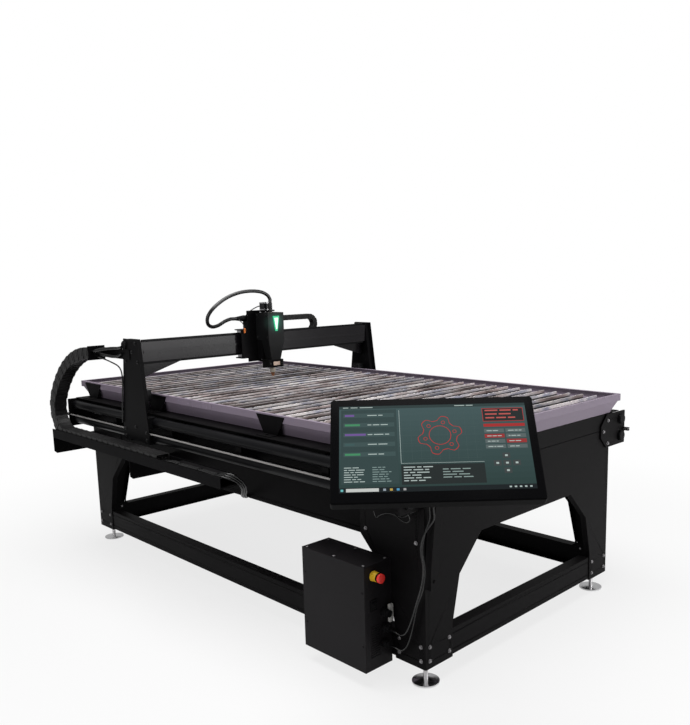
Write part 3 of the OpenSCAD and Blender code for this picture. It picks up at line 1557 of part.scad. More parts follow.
place() end_frame_front();
place() end_frame_rear();
place() side_panels();
place() lower_side_beams();
place() lower_end_beams();
place() foot_front_left();
place() foot_front_right();
place() foot_rear_left();
place() foot_rear_right();
place() frame_bolts();
place() pan_brackets();
place() water_pan();
place() slat_supports();
place() slats();
place() rail_tubes();
place() rail_mounts();
place() gantry_belts();
place() gantry_tower_left();
place() gantry_tower_right();
place() gantry_beam();
place() beam_rails();
place() guide_shoes();
place() gantry_motors();
place() drive_pulley_left();
place() drive_pulley_right();
place() idler_left_rear();
place() idler_left_front();
place() idler_right_rear();
place() idler_right_front();
place() belt_loops();
place() beam_belt();
place() carriage_plate();
place() carriage_guides();
place() carriage_motor();
place() carriage_pulley();
place() lift_motor();
place() lift_screw();
place() head_body();
place() head_cover();
place() light_lens();
place() torch();
place() torch_tip();
place() torch_lead();
place() lead_gland();
place() beam_chain();
place() gantry_chain();
place() chain_tray();
place() chain_arm();
place() box_shell();
place() box_cover();
place() box_fittings();
place() estop_button();
place() power_switch();
place() box_electronics();
place() fan_rotor();
place() monitor_post();
place() monitor_bracket();
place() monitor_case();
place() monitor_screen();
place() signal_cables();
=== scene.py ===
"""Looks of the CNC plasma table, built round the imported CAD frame.

Lengths in the classes are millimetres in the stand's own frame, whose origin is on the floor under the
middle of the pan. MeshMaker turns them into metres in the row frame.
"""

from __future__ import annotations

import logging
import math
from dataclasses import dataclass, field, replace
from enum import Enum
from typing import Iterable, Sequence

import bpy
import numpy as np
from mathutils import Matrix, Vector

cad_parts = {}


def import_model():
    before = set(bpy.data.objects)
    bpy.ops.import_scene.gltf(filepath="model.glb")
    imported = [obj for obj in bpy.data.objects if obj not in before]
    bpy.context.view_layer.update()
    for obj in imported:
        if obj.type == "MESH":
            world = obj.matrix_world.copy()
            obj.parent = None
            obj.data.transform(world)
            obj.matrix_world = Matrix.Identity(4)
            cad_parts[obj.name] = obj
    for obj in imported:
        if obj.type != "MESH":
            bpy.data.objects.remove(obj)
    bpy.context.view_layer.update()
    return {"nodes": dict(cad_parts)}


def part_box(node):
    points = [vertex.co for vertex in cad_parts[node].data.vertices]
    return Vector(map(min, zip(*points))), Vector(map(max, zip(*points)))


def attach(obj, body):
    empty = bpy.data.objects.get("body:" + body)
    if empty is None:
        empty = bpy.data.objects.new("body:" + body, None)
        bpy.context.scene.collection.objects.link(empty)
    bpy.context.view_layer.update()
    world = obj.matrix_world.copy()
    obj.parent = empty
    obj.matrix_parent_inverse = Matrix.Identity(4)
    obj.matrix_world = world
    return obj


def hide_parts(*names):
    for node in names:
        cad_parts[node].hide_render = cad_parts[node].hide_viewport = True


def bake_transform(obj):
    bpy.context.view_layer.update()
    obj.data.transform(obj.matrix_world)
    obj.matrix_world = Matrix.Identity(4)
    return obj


log = logging.getLogger("plasma_table")

Array = np.ndarray
Faces = list[tuple[int, ...]]
Shape = tuple[Array, Faces]
Colour = tuple[float, float, float]
Route = tuple[tuple[float, ...], ...]


class Body(str, Enum):
    """CAD bodies that pieces ride on."""

    STAND = "stand"
    GANTRY = "gantry"
    CARRIAGE = "carriage"
    HEAD = "head"
    MONITOR = "monitor"
    ESTOP = "estop_button"


class Axis(Enum):
    """Direction that a round or flat piece faces."""

    X = 0
    Y = 1
    Z = 2


# Surfaces worked out with numpy


def join(*shapes: Shape) -> Shape:
    """Puts several shapes into one list of points and faces.

    Args:
        shapes: point arrays with their faces.

    Returns:
        One shape, with each face's indices moved past the points before it.
    """
    points, faces, base = [], [], 0
    for verts, polys in shapes:
        points.append(verts)
        faces.extend(tuple(i + base for i in poly) for poly in polys)
        base += len(verts)
    return np.concatenate(points), faces


def grid_faces(rows: int, cols: int, wrap: bool) -> Faces:
    """Quads of a grid whose points run row by row.

    Args:
        rows: number of rows.
        cols: points in a row.
        wrap: whether each row closes on itself.

    Returns:
        The quads, turned to face outwards for rows that run against the clock and rise.
    """
    i, j = np.meshgrid(np.arange(rows - 1), np.arange(cols if wrap else cols - 1), indexing="ij")
    a = i * cols + j
    b = i * cols + (j + 1) % cols
    quads = np.stack([a, b, b + cols, a + cols], axis=-1).reshape(-1, 4)
    return [tuple(q) for q in quads.tolist()]


def stack_faces(rings: int, sides: int) -> Faces:
    """Faces of rings that run against the clock and rise, with a flat cap over the first and the last.

    Args:
        rings: number of rings.
        sides: points in a ring.

    Returns:
        The quads between the rings, and the two caps.
    """
    last = (rings - 1) * sides
    caps = [tuple(range(sides - 1, -1, -1)), tuple(range(last, last + sides))]
    return grid_faces(rings, sides, True) + caps


def bar_faces(stations: int) -> Faces:
    """Faces of a bar whose rings of four points follow each other along it, with both ends closed.

    Args:
        stations: rings along the bar.

    Returns:
        The quads, turned to face outwards for rings that run with the clock.
    """
    return [tuple(reversed(face)) for face in stack_faces(stations, 4)]


def lathe(profile: Sequence[tuple[float, float]], sides: int = 40) -> Shape:
    """Turns a profile of (radius, height) about Z: x = r cos a, y = r sin a, z = h.

    Args:
        profile: points from the bottom pole or edge to the top one, or back to the first for a hollow ring.
        sides: facets round.

    Returns:
        A closed shape: a hollow ring, or one with flat caps over the first and last ring.
    """
    hollow = profile[0] == profile[-1]
    r, h = np.array(profile[:-1] if hollow else profile, float).T
    angle = np.linspace(0, 2 * math.pi, sides, endpoint=False)
    r = np.maximum(r, 1e-3)
    points = np.stack(
        [r[:, None] * np.cos(angle), r[:, None] * np.sin(angle), np.repeat(h[:, None], sides, 1)], axis=-1
    ).reshape(-1, 3)
    if hollow:
        quads = grid_faces(len(profile), sides, True)
        return points, [tuple(k % len(points) for k in quad) for quad in quads]
    return points, stack_faces(len(r), sides)


def inset(outline: Array, d: float) -> Array:
    """Moves a closed outline inwards by d along the mean of its edges' normals.

    Args:
        outline: points against the clock.
        d: distance.

    Returns:
        The moved outline, with the same number of points.
    """
    ahead = np.roll(outline, -1, 0) - outline
    ahead /= np.linalg.norm(ahead, axis=1, keepdims=True)
    behind = np.roll(ahead, 1, 0)
    n1 = np.stack([-ahead[:, 1], ahead[:, 0]], 1)
    n0 = np.stack([-behind[:, 1], behind[:, 0]], 1)
    mid = n0 + n1
    mid /= np.maximum(np.einsum("ij,ij->i", mid, n1)[:, None], 0.3)
    return outline + d * mid


def slab(outline: Array, thick: float, edge: float = 0.0) -> Shape:
    """Lifts a flat outline from z = 0 to z = thick, with its rims broken by a chamfer of width edge.

    Args:
        outline: (n, 2) points against the clock.
        thick: height of the slab.
        edge: width of the chamfer.

    Returns:
        A closed shape of stacked outlines with flat caps.
    """
    outline = np.asarray(outline, float)
    edge = min(edge, thick / 2.2)
    inner = inset(outline, edge) if edge > 0 else outline
    rings = (
        [(inner, 0.0), (outline, edge), (outline, thick - edge), (inner, thick)]
        if edge > 0
        else [(outline, 0.0), (outline, thick)]
    )
    points = np.concatenate([np.column_stack([o, np.full(len(o), z)]) for o, z in rings])
    return points, stack_faces(len(rings), len(outline))


def rounded_rect(w: float, h: float, r: float, steps: int = 5) -> Array:
    """Outline of a rectangle about the origin with quarter-circle corners.

    Args:
        w: width.
        h: height.
        r: corner radius.
        steps: points on each corner.

    Returns:
        (n, 2) points against the clock.
    """
    r = min(r, w / 2.01, h / 2.01)
    quarter = np.linspace(0, math.pi / 2, steps)
    corners = [(w / 2 - r, h / 2 - r), (r - w / 2, h / 2 - r), (r - w / 2, r - h / 2), (w / 2 - r, r - h / 2)]
    arcs = []
    for k, (cx, cy) in enumerate(corners):
        angle = quarter + k * math.pi / 2
        arcs.append(np.column_stack([cx + r * np.cos(angle), cy + r * np.sin(angle)]))
    return np.concatenate(arcs)


def block(size: Sequence[float], centre: Sequence[float], edge: float = 1.0, corner: float = 0.0) -> Shape:
    """A box with broken edges: a rounded rectangle lifted along Z about its centre.

    Args:
        size: lengths along X, Y and Z.
        centre: middle of the box.
        edge: chamfer of the top and bottom rims.
        corner: radius of the upright edges, or the chamfer where it is 0.

    Returns:
        The closed shape.
    """
    r = corner or edge
    points, faces = slab(rounded_rect(size[0], size[1], r, 5 if corner else 2), size[2], edge)
    return points + np.array(centre) - [0, 0, size[2] / 2], faces


def turn(shape: Shape, axis: Axis, origin: Sequence[float] = (0, 0, 0), flip: bool = False) -> Shape:
    """Lays a shape that was made along Z along another axis, keeping its faces outwards.

    Args:
        shape: the shape about Z.
        axis: the axis that its Z becomes.
        origin: where its origin goes.
        flip: whether it points towards minus.

    Returns:
        The turned shape.
    """
    points, faces = shape
    x, y, z = points.T
    if flip:
        y, z = -y, -z
    turned = {Axis.X: (z, x, y), Axis.Y: (y, z, x), Axis.Z: (x, y, z)}[axis]
    return np.stack(turned, 1) + np.array(origin, float), faces


def smooth_path(points: Sequence[Sequence[float]], steps: int = 8) -> Array:
    """Cubic through the points, with each tangent taken from its two neighbours.

    Args:
        points: the points that the line goes through.
        steps: points on each stretch.

    Returns:
        Points along the line, one in each row.
    """
    p = np.asarray(points, float)
    q = np.concatenate([p[:1], p, p[-1:]])
    t = np.linspace(0, 1, steps, endpoint=False)[None, :, None]
    a, b, c, d = (q[k : len(p) - 1 + k, None, :] for k in range(4))
    line = 0.5 * (2 * b + (c - a) * t + (2 * a - 5 * b + 4 * c - d) * t**2 + (3 * b - a - 3 * c + d) * t**3)
    return np.concatenate([line.reshape(-1, p.shape[1]), p[-1:]])


def thinned(path: Array, count: int = 40, radian_worth: float = 110.0) -> Array:
    """Picks points of a line: the closer together the tighter it bends, by equal steps of length and turning.

    Args:
        path: (n, 3) points, close together.
        count: how many points are kept.
        radian_worth: length that weighs as much as a turn of one radian.

    Returns:
        (count, 3) points, with both ends kept.
    """
    step = np.diff(path, axis=0)
    length = np.linalg.norm(step, axis=1)
    ahead = step / length[:, None]
    turning = np.arccos(np.clip((ahead[1:] * ahead[:-1]).sum(1), -1, 1))
    travel = length / radian_worth
    travel[1:] += turning
    walked = np.concatenate([[0], np.cumsum(travel)])
    wanted = np.linspace(0, walked[-1], count)
    return np.stack([np.interp(wanted, walked, path[:, k]) for k in range(3)], 1)


def tube(path: Array, radius: float | Array, sides: int = 16) -> Shape:
    """Carries a circle along a path, turning it as little as it can from point to point.

    Args:
        path: (n, 3) centre line.
        radius: one radius, or one for each point.
        sides: facets round.

    Returns:
        A closed shape with flat ends.
    """
    path = np.asarray(path, float)
    tangent = np.gradient(path, axis=0)
    tangent /= np.linalg.norm(tangent, axis=1, keepdims=True)
    askew = [0.31, 0.52, 0.79]
    first = np.cross(tangent[0], askew)
    side = np.zeros_like(path)
    side[0] = first / np.linalg.norm(first)
    for i in range(1, len(path)):
        v = side[i - 1] - tangent[i] * (side[i - 1] @ tangent[i])
        side[i] = v / np.linalg.norm(v)
    other = np.cross(tangent, side)
    angle = np.linspace(0, 2 * math.pi, sides, endpoint=False)
    r = np.broadcast_to(np.asarray(radius, float), (len(path),))[:, None, None]
    ring = np.cos(angle)[None, :, None] * side[:, None, :] + np.sin(angle)[None, :, None] * other[:, None, :]
    points = (path[:, None, :] + r * ring).reshape(-1, 3)
    return points, stack_faces(len(path), sides)


def copies(shape: Shape, frames: Array) -> Shape:
    """Sets one shape down at many places at once.

    Args:
        shape: the pattern.
        frames: (n, 4, 3) rows of three axes and an origin for each copy.

    Returns:
        All the copies as one shape.
    """
    points, faces = shape
    placed = np.einsum("pk,nkj->npj", points, frames[:, :3]) + frames[:, None, 3]
    index = [np.array(f) for f in faces]
    polys = [tuple((f + k * len(points)).tolist()) for k in range(len(frames)) for f in index]
    return placed.reshape(-1, 3), polys


def at_points(shape: Shape, places: Iterable[Sequence[float]]) -> Shape:
    """Sets one shape down unturned at each of the places.

    Args:
        shape: the pattern.
        places: where its origin goes each time.

    Returns:
        All the copies as one shape.
    """
    spots = np.array(list(places), float)
    frames = np.concatenate([np.broadcast_to(np.eye(3), (len(spots), 3, 3)), spots[:, None, :]], axis=1)
    return copies(shape, frames)


def cap_screw(r: float = 6.5, h: float = 6.0) -> Shape:
    """A round screw head with a sunk socket, on a washer, standing on Z = 0.

    Args:
        r: the head's radius.
        h: the head's height.

    Returns:
        Washer and head.
    """
    edge = 0.8
    socket = [(r * 0.55, h), (r * 0.5, h - r * 0.5), (0, h - r * 0.55)]
    body = lathe([(r, 0), (r, h - edge), (r - edge, h), *socket], 24)
    washer = lathe([(r * 1.5, 0), (r * 1.5, 1.0), (r * 1.42, 1.3), (r * 0.7, 1.3)], 28)
    return join(washer, body)


# Shader node groups and finishes


class Wiring:
    """Adds nodes to a tree and links them."""

    def __init__(self, tree: bpy.types.NodeTree) -> None:
        """Keeps the tree that the nodes go into."""
        self.tree = tree

    def add(self, kind: str, values: dict | None = None, **props: object) -> bpy.types.Node:
        """Adds one node.

        Args:
            kind: the node's class name without its ShaderNode prefix.
            values: input name or index to a number, a colour or an output socket.
            props: attributes set on the node first.

        Returns:
            The new node.
        """
        node = self.tree.nodes.new(kind if kind.startswith("NodeGroup") else "ShaderNode" + kind)
        for key, value in props.items():
            setattr(node, key, value)
        for key, value in (values or {}).items():
            self.feed(value, node.inputs[key])
        return node

    def feed(self, value: object, socket: bpy.types.NodeSocket) -> None:
        """Links an output into a socket, or sets the socket's own value.

        Args:
            value: an output socket, a number, a colour or a vector.
            socket: the input that takes it.
        """
        if isinstance(value, bpy.types.NodeSocket):
            self.tree.links.new(value, socket)
        elif isinstance(value, tuple) and len(value) == 3 and socket.type == "RGBA":
            socket.default_value = (*value, 1.0)
        else:
            socket.default_value = value

    def math(self, operation: str, a: object, b: object = 0.0, clamp: bool = False) -> bpy.types.NodeSocket:
        """Adds a Math node and returns its output."""
        return self.add("Math", {0: a, 1: b}, operation=operation, use_clamp=clamp).outputs[0]

    def ramp(self, value: object, low: float, high: float) -> bpy.types.NodeSocket:
        """Maps low to high onto 0 to 1, smoothly and clamped."""
        node = self.add("MapRange", {0: value, 1: low, 2: high}, interpolation_type="SMOOTHSTEP")
        return node.outputs[0]

    def mix(self, factor: object, a: object, b: object) -> bpy.types.NodeSocket:
        """Mixes two colours.

        Args:
            factor: share of the second colour.
            a: the first colour.
            b: the second colour.

        Returns:
            The mixed colour.
        """
        node = self.tree.nodes.new("ShaderNodeMix")
        node.data_type = "RGBA"
        self.feed(factor, node.inputs[0])
        self.feed(a, node.inputs[6])
        self.feed(b, node.inputs[7])
        return node.outputs[2]

    def noise(
        self, vector: object, scale: float, detail: float = 3.0, rough: float = 0.55
    ) -> bpy.types.NodeSocket:
        """Adds a noise texture and returns its value."""
        values = {"Vector": vector, "Scale": scale, "Detail": detail, "Roughness": rough}
        return self.add("TexNoise", values).outputs[0]


def new_group(
    name: str, inputs: Sequence[tuple[str, str, object]], outputs: Sequence[tuple[str, str]]
) -> tuple[bpy.types.NodeTree, Wiring, bpy.types.Node, bpy.types.Node]:
    """Starts a shader node group with named sockets.

    Args:
        name: the group's name.
        inputs: (name, socket type, default) of each input.
        outputs: (name, socket type) of each output.

    Returns:
        The group, its wiring, and its input and output nodes.
    """
    group = bpy.data.node_groups.new(name, "ShaderNodeTree")
    for label, kind, default in inputs:
        socket = group.interface.new_socket(label, in_out="INPUT", socket_type="NodeSocket" + kind)
        socket.default_value = (*default, 1.0) if kind == "Color" else default
    for label, kind in outputs:
        group.interface.new_socket(label, in_out="OUTPUT", socket_type="NodeSocket" + kind)
    wires = Wiring(group)
    return group, wires, wires.add("NodeGroupInput"), wires.add("NodeGroupOutput")


class Effects:
    """Shader node groups that the finishes share, each built at its first use."""

    _made: dict[str, bpy.types.NodeTree] = {}

    @classmethod
    def get(cls, name: str) -> bpy.types.NodeTree:
        """Finds a group, and builds it at its first use.

        Args:
            name: the effect's name.

        Returns:
            The group, which all materials share.
        """
        if name not in cls._made:
            cls._made[name] = getattr(cls, "_" + name)()
        return cls._made[name]

    @staticmethod
    def _coat() -> bpy.types.NodeTree:
        """Powder coat: slow cloudiness, dust on what faces up, smears, and the fine orange-peel grain.

        Returns:
            The group.
        """
        group, w, i, o = new_group(
            "powder coat",
            [
                ("Colour", "Color", (0.02, 0.02, 0.02)), ("Dust colour", "Color", (0.2, 0.19, 0.18)),
                ("Dust", "Float", 0.2), ("Cloud", "Float", 0.2), ("Rough", "Float", 0.45),
                ("Grain", "Float", 0.1),
            ],
            [("Colour", "Color"), ("Roughness", "Float"), ("Normal", "Vector")],
        )
        place = w.add("TexCoord").outputs["Object"]
        slow = w.noise(place, 2.3, 4, 0.6)
        smear = w.ramp(w.noise(place, 11, 6, 0.7), 0.48, 0.72)
        up = w.add("SeparateXYZ", {0: w.add("NewGeometry").outputs["Normal"]}).outputs[2]
        lying = w.math("MULTIPLY", w.ramp(up, 0.2, 0.95), w.ramp(w.noise(place, 7, 5, 0.65), 0.25, 0.7))
        film = w.math("MULTIPLY", smear, 0.22)
        dusty = w.math("MULTIPLY", w.math("MAXIMUM", lying, film), i.outputs["Dust"], True)
        shade = w.math("MULTIPLY", w.math("SUBTRACT", slow, 0.5), i.outputs["Cloud"])
        bright = w.add("HueSaturation", {"Value": w.math("ADD", 1.0, shade), "Color": i.outputs["Colour"]})
        w.feed(w.mix(dusty, bright.outputs[0], i.outputs["Dust colour"]), o.inputs["Colour"])
        dull = w.math("ADD", i.outputs["Rough"], w.math("MULTIPLY", dusty, 0.4))
        dull = w.math("ADD", dull, w.math("MULTIPLY", w.math("SUBTRACT", slow, 0.5), 0.16), True)
        w.feed(dull, o.inputs["Roughness"])
        peel = w.noise(place, 620, 2, 0.5)
        bump = w.add("Bump", {"Strength": i.outputs["Grain"], "Distance": 0.0006, "Height": peel})
        w.feed(bump.outputs[0], o.inputs["Normal"])
        return group

    @staticmethod
    def _stain() -> bpy.types.NodeTree:
        """Runs and splashes: tall streaks and round spots, as masks to mix with.

        Returns:
            The group.
        """
        group, w, i, o = new_group(
            "water stain", [("Amount", "Float", 0.4), ("Size", "Float", 1.0)],
            [("Mask", "Float"), ("Spots", "Float")],
        )
        place = w.add("TexCoord").outputs["Object"]
        scaled = w.add("VectorMath", {0: place, 3: i.outputs["Size"]}, operation="SCALE").outputs[0]
        tall = w.add("Mapping", {"Vector": scaled, "Scale": (9.0, 9.0, 1.1)}).outputs[0]
        runs = w.ramp(w.noise(tall, 3.0, 5, 0.62), 0.5, 0.78)
        patch = w.ramp(w.noise(scaled, 4.0, 5, 0.6), 0.42, 0.7)
        streaks = w.math("MULTIPLY", runs, patch)
        w.feed(w.math("MULTIPLY", streaks, i.outputs["Amount"], True), o.inputs["Mask"])
        cells = w.add("TexVoronoi", {"Vector": scaled, "Scale": 46.0, "Randomness": 1.0})
        spots = w.math("MULTIPLY", w.ramp(cells.outputs["Distance"], 0.2, 0.07), patch)
        w.feed(w.math("MULTIPLY", spots, i.outputs["Amount"], True), o.inputs["Spots"])
        return group

    @staticmethod
    def _metal() -> bpy.types.NodeTree:
        """Bare metal: brushed lines, and patches of tarnish.

        Returns:
            The group.
        """
        group, w, i, o = new_group(
            "bare metal",
            [
                ("Colour", "Color", (0.5, 0.5, 0.5)), ("Tarnish colour", "Color", (0.15, 0.1, 0.08)),
                ("Tarnish", "Float", 0.2), ("Rough", "Float", 0.35), ("Lines", "Vector", (1.0, 1.0, 1.0)),
                ("Depth", "Float", 0.1),
            ],
            [("Colour", "Color"), ("Roughness", "Float"), ("Normal", "Vector")],
        )
        place = w.add("TexCoord").outputs["Object"]
        lined = w.add("VectorMath", {0: place, 1: i.outputs["Lines"]}, operation="MULTIPLY").outputs[0]
        lines = w.noise(lined, 240, 3, 0.6)
        patch = w.ramp(w.noise(place, 16, 6, 0.68), 0.42, 0.68)
        worn = w.math("MULTIPLY", patch, i.outputs["Tarnish"], True)
        shade = w.math("ADD", 0.84, w.math("MULTIPLY", lines, 0.32))
        bright = w.add("HueSaturation", {"Value": shade, "Color": i.outputs["Colour"]}).outputs[0]
        w.feed(w.mix(worn, bright, i.outputs["Tarnish colour"]), o.inputs["Colour"])
        dull = w.math("ADD", i.outputs["Rough"], w.math("MULTIPLY", worn, 0.35))
        w.feed(w.math("ADD", dull, w.math("MULTIPLY", lines, 0.1), True), o.inputs["Roughness"])
        bump = w.add("Bump", {"Strength": i.outputs["Depth"], "Distance": 0.0008, "Height": lines})
        w.feed(bump.outputs[0], o.inputs["Normal"])
        return group


class Finish:
    """A finish that makes one material and keeps it."""

    name: str
    _kept: dict[str, bpy.types.Material] = {}

    def material(self) -> bpy.types.Material:
        """Finds the finish's material, and makes it at the first call.

        Returns:
            The material.
        """
        if self.name not in Finish._kept:
            mat = bpy.data.materials.new(self.name)
            mat.use_nodes = True
            mat.node_tree.nodes.clear()
            w = Wiring(mat.node_tree)
            shader = w.add("BsdfPrincipled")
            self.wire(w, shader)
            w.feed(shader.outputs[0], w.add("OutputMaterial").inputs[0])
            Finish._kept[self.name] = mat
        return Finish._kept[self.name]

    def wire(self, w: Wiring, shader: bpy.types.Node) -> None:
        """Sets the shader's sockets."""
        raise NotImplementedError


@dataclass(frozen=True)
class Coat(Finish):
    """Powder coat or moulded plastic, with dust, clouding and grain."""

    name: str
    colour: Colour
    rough: float = 0.45
    dust: float = 0.25
    cloud: float = 0.3
    grain: float = 0.12
    dust_colour: Colour = (0.12, 0.113, 0.11)
    specular: float = 0.28
    stain: float = 0.0
    stain_colour: Colour = (0.05, 0.04, 0.035)

    def wire(self, w: Wiring, shader: bpy.types.Node) -> None:
        """Feeds the shader from the powder coat group, with stains mixed in where asked.

        Args:
            w: wiring of the material's tree.
            shader: its Principled shader.
        """
        values = {
            "Colour": self.colour, "Dust colour": self.dust_colour, "Dust": self.dust, "Cloud": self.cloud,
            "Rough": self.rough, "Grain": self.grain,
        }
        coat = w.add("Group", values, node_tree=Effects.get("coat"))
        colour = coat.outputs["Colour"]
        if self.stain > 0:
            stain = w.add("Group", {"Amount": self.stain}, node_tree=Effects.get("stain"))
            colour = w.mix(stain.outputs["Mask"], colour, self.stain_colour)
            colour = w.mix(stain.outputs["Spots"], colour, tuple(2.2 * c for c in self.colour))
        w.feed(colour, shader.inputs["Base Color"])
        w.feed(coat.outputs["Roughness"], shader.inputs["Roughness"])
        w.feed(coat.outputs["Normal"], shader.inputs["Normal"])
        shader.inputs["Specular IOR Level"].default_value = self.specular


@dataclass(frozen=True)
class PaintedLightCoat(Coat):
    """A coat with painted light on it: an emission that fades out round a lamp on the surface, standing in
    for the light that the lamp casts there.
    """

    # Colour of the painted light.
    painted_light: Colour = (0.05, 0.5, 0.2)
    centre: Colour = (0.0, 0.0, 0.0)
    reach: float = 0.1
    strength: float = 0.1

    def wire(self, w: Wiring, shader: bpy.types.Node) -> None:
        """Adds painted light: an emission that fades out from its centre, a smooth step down to its reach,
        squared.

        Args:
            w: wiring of the material's tree.
            shader: its Principled shader.
        """
        super().wire(w, shader)
        place = w.add("TexCoord").outputs["Object"]
        away = w.add("VectorMath", {0: place, 1: self.centre}, operation="DISTANCE").outputs["Value"]
        near = w.math("POWER", w.ramp(away, self.reach, 0.0), 2.0)
        shader.inputs["Emission Color"].default_value = (*self.painted_light, 1)
        w.feed(w.math("MULTIPLY", near, self.strength), shader.inputs["Emission Strength"])


@dataclass(frozen=True)
class Metal(Finish):
    """Bare or plated metal with brushed lines and tarnish."""

    name: str
    colour: Colour
    rough: float = 0.3
    tarnish: float = 0.2
    tarnish_colour: Colour = (0.12, 0.09, 0.07)
    lines: Colour = (1.0, 1.0, 1.0)
    depth: float = 0.08
    metallic: float = 1.0

    def wire(self, w: Wiring, shader: bpy.types.Node) -> None:
        """Feeds the shader from the bare metal group.

        Args:
            w: wiring of the material's tree.
            shader: its Principled shader.
        """
        values = {
            "Colour": self.colour, "Tarnish colour": self.tarnish_colour, "Tarnish": self.tarnish,
            "Rough": self.rough, "Lines": self.lines, "Depth": self.depth,
        }
        metal = w.add("Group", values, node_tree=Effects.get("metal"))
        w.feed(metal.outputs["Colour"], shader.inputs["Base Color"])
        w.feed(metal.outputs["Roughness"], shader.inputs["Roughness"])
        w.feed(metal.outputs["Normal"], shader.inputs["Normal"])
        shader.inputs["Metallic"].default_value = self.metallic


@dataclass(frozen=True)
class Glow(Finish):
    """A lit surface: a colour that shines by itself over a darker glossy base."""

    name: str
    colour: Colour
    strength: float = 1.0
    base: float = 0.4
    rough: float = 0.25

    def wire(self, w: Wiring, shader: bpy.types.Node) -> None:
        """Sets base and emission on the shader.

        Args:
            w: wiring of the material's tree.
            shader: its Principled shader.
        """
        shader.inputs["Base Color"].default_value = (*(self.base * c for c in self.colour), 1)
        shader.inputs["Roughness"].default_value = self.rough
        shader.inputs["Emission Color"].default_value = (*self.colour, 1)
        shader.inputs["Emission Strength"].default_value = self.strength


@dataclass(frozen=True)
class Lit(Finish):
    """A display: each face shines in its own colour, which is kept in a mesh attribute."""

    name: str
    strength: float = 1.0
    rough: float = 0.25
    specular: float = 0.01

    def wire(self, w: Wiring, shader: bpy.types.Node) -> None:
        """Feeds the faces' colours to the emission over a black glossy base.

        Args:
            w: wiring of the material's tree.
            shader: its Principled shader.
        """
        colour = w.add("Attribute", attribute_name="face_colour").outputs["Color"]
        shader.inputs["Base Color"].default_value = (0.004, 0.004, 0.004, 1)
        shader.inputs["Roughness"].default_value = self.rough
        w.feed(colour, shader.inputs["Emission Color"])
        shader.inputs["Emission Strength"].default_value = self.strength
        shader.inputs["Specular IOR Level"].default_value = self.specular


@dataclass(frozen=True)
class HotSteel(Finish):
    """Slat steel: grey with red and blue heat tint, each slat a shade of its own, painted shade further down
    between the slats.
    """

    name: str
    edge_z: float
    pitch: float
    # Painted shade between the slats: how far under the top edge it sets in, and how much that line drops
    # along X.
    gap_shade: tuple[float, float] = (0.0082, 0.0112)
    gap_shade_fall: float = 0.0042
    metallic: float = 0.12

    def wire(self, w: Wiring, shader: bpy.types.Node) -> None:
        """Mixes the tints by noise stretched along the slat, and darkens below a line that falls along X, as
        painted shade between the slats.

        Args:
            w: wiring of the material's tree.
            shader: its Principled shader.
        """
        place = w.add("TexCoord").outputs["Object"]
        stretched = w.add("Mapping", {"Vector": place, "Scale": (14.0, 1.3, 3.0)}).outputs[0]
        tint = w.add("ValToRGB", {0: w.noise(stretched, 1.9, 3, 0.55)})
        stops = [
            (0.36, (0.09, 0.065, 0.062)), (0.44, (0.37, 0.295, 0.285)), (0.5, (0.6, 0.56, 0.56)),
            (0.56, (0.3, 0.31, 0.39)), (0.63, (0.85, 0.8, 0.78)),
        ]
        ramp = tint.color_ramp
        while len(ramp.elements) < len(stops):
            ramp.elements.new(0.5)
        for element, (where, colour) in zip(ramp.elements, stops):
            element.position = where
            element.color = (*colour, 1)
        x, _, z = w.add("SeparateXYZ", {0: place}).outputs
        row = w.math("FLOOR", w.math("DIVIDE", x, self.pitch))
        own = w.add("TexWhiteNoise", {"W": row}, noise_dimensions="1D").outputs["Value"]
        shade = w.math("ADD", 0.86, w.math("MULTIPLY", own, 1.05))
        bright = w.add("HueSaturation", {"Value": shade, "Color": tint.outputs[0]}).outputs[0]
        # Painted shade: the slat darkens below a line under its top edge, and that line drops along X.
        below = w.math("ADD", w.math("SUBTRACT", self.edge_z, z), w.math("MULTIPLY", x, -self.gap_shade_fall))
        low = w.ramp(below, *self.gap_shade)
        rusty = w.ramp(w.noise(stretched, 9, 4, 0.65), 0.5, 0.72)
        colour = w.mix(w.math("MULTIPLY", rusty, 0.4), bright, (0.16, 0.085, 0.06))
        worn = w.ramp(z, self.edge_z - 0.005, self.edge_z - 0.001)
        colour = w.mix(w.math("MULTIPLY", worn, 0.4), colour, (0.8, 0.76, 0.75))
        # Mixes the painted shade's near-black into the slat below that line.
        colour = w.mix(w.math("MULTIPLY", low, 0.92), colour, (0.02, 0.0155, 0.015))
        w.feed(colour, shader.inputs["Base Color"])
        w.feed(w.math("ADD", 0.42, w.math("MULTIPLY", rusty, 0.3)), shader.inputs["Roughness"])
        shader.inputs["Metallic"].default_value = self.metallic
        bump = w.add("Bump", {"Strength": 0.35, "Distance": 0.001, "Height": w.noise(place, 160, 4, 0.65)})
        w.feed(bump.outputs[0], shader.inputs["Normal"])


FRAME_BLACK = Coat("frame black", (0.0048, 0.0044, 0.0048), rough=0.42, dust=0.03, grain=0.14, specular=0.05)
PANEL_BLACK = Coat("panel black", (0.0033, 0.0031, 0.0034), rough=0.46, dust=0.03, grain=0.14, specular=0.03)
GANTRY_BLACK = Coat("gantry black", (0.0036, 0.0035, 0.0039), rough=0.36, dust=0.03, grain=0.1, specular=0.04)
BEAM_GREY = Coat("beam satin", (0.0075, 0.0064, 0.008), rough=0.2, dust=0.04, grain=0.06, specular=0.26)
PAN_GREY = Coat(
    "pan grey", (0.225, 0.184, 0.238), rough=0.5, dust=0.2, cloud=0.25, grain=0.1, specular=0.4,
    dust_colour=(0.24, 0.22, 0.22), stain=0.4, stain_colour=(0.085, 0.072, 0.078),
)
TRAY_BLACK = Coat("tray black", (0.0045, 0.0043, 0.0048), rough=0.5, dust=0.04, specular=0.03)
TUBE_BLACK = Coat("rail tube", (0.0045, 0.0045, 0.0053), rough=0.3, dust=0.03, grain=0.04, specular=0.08)
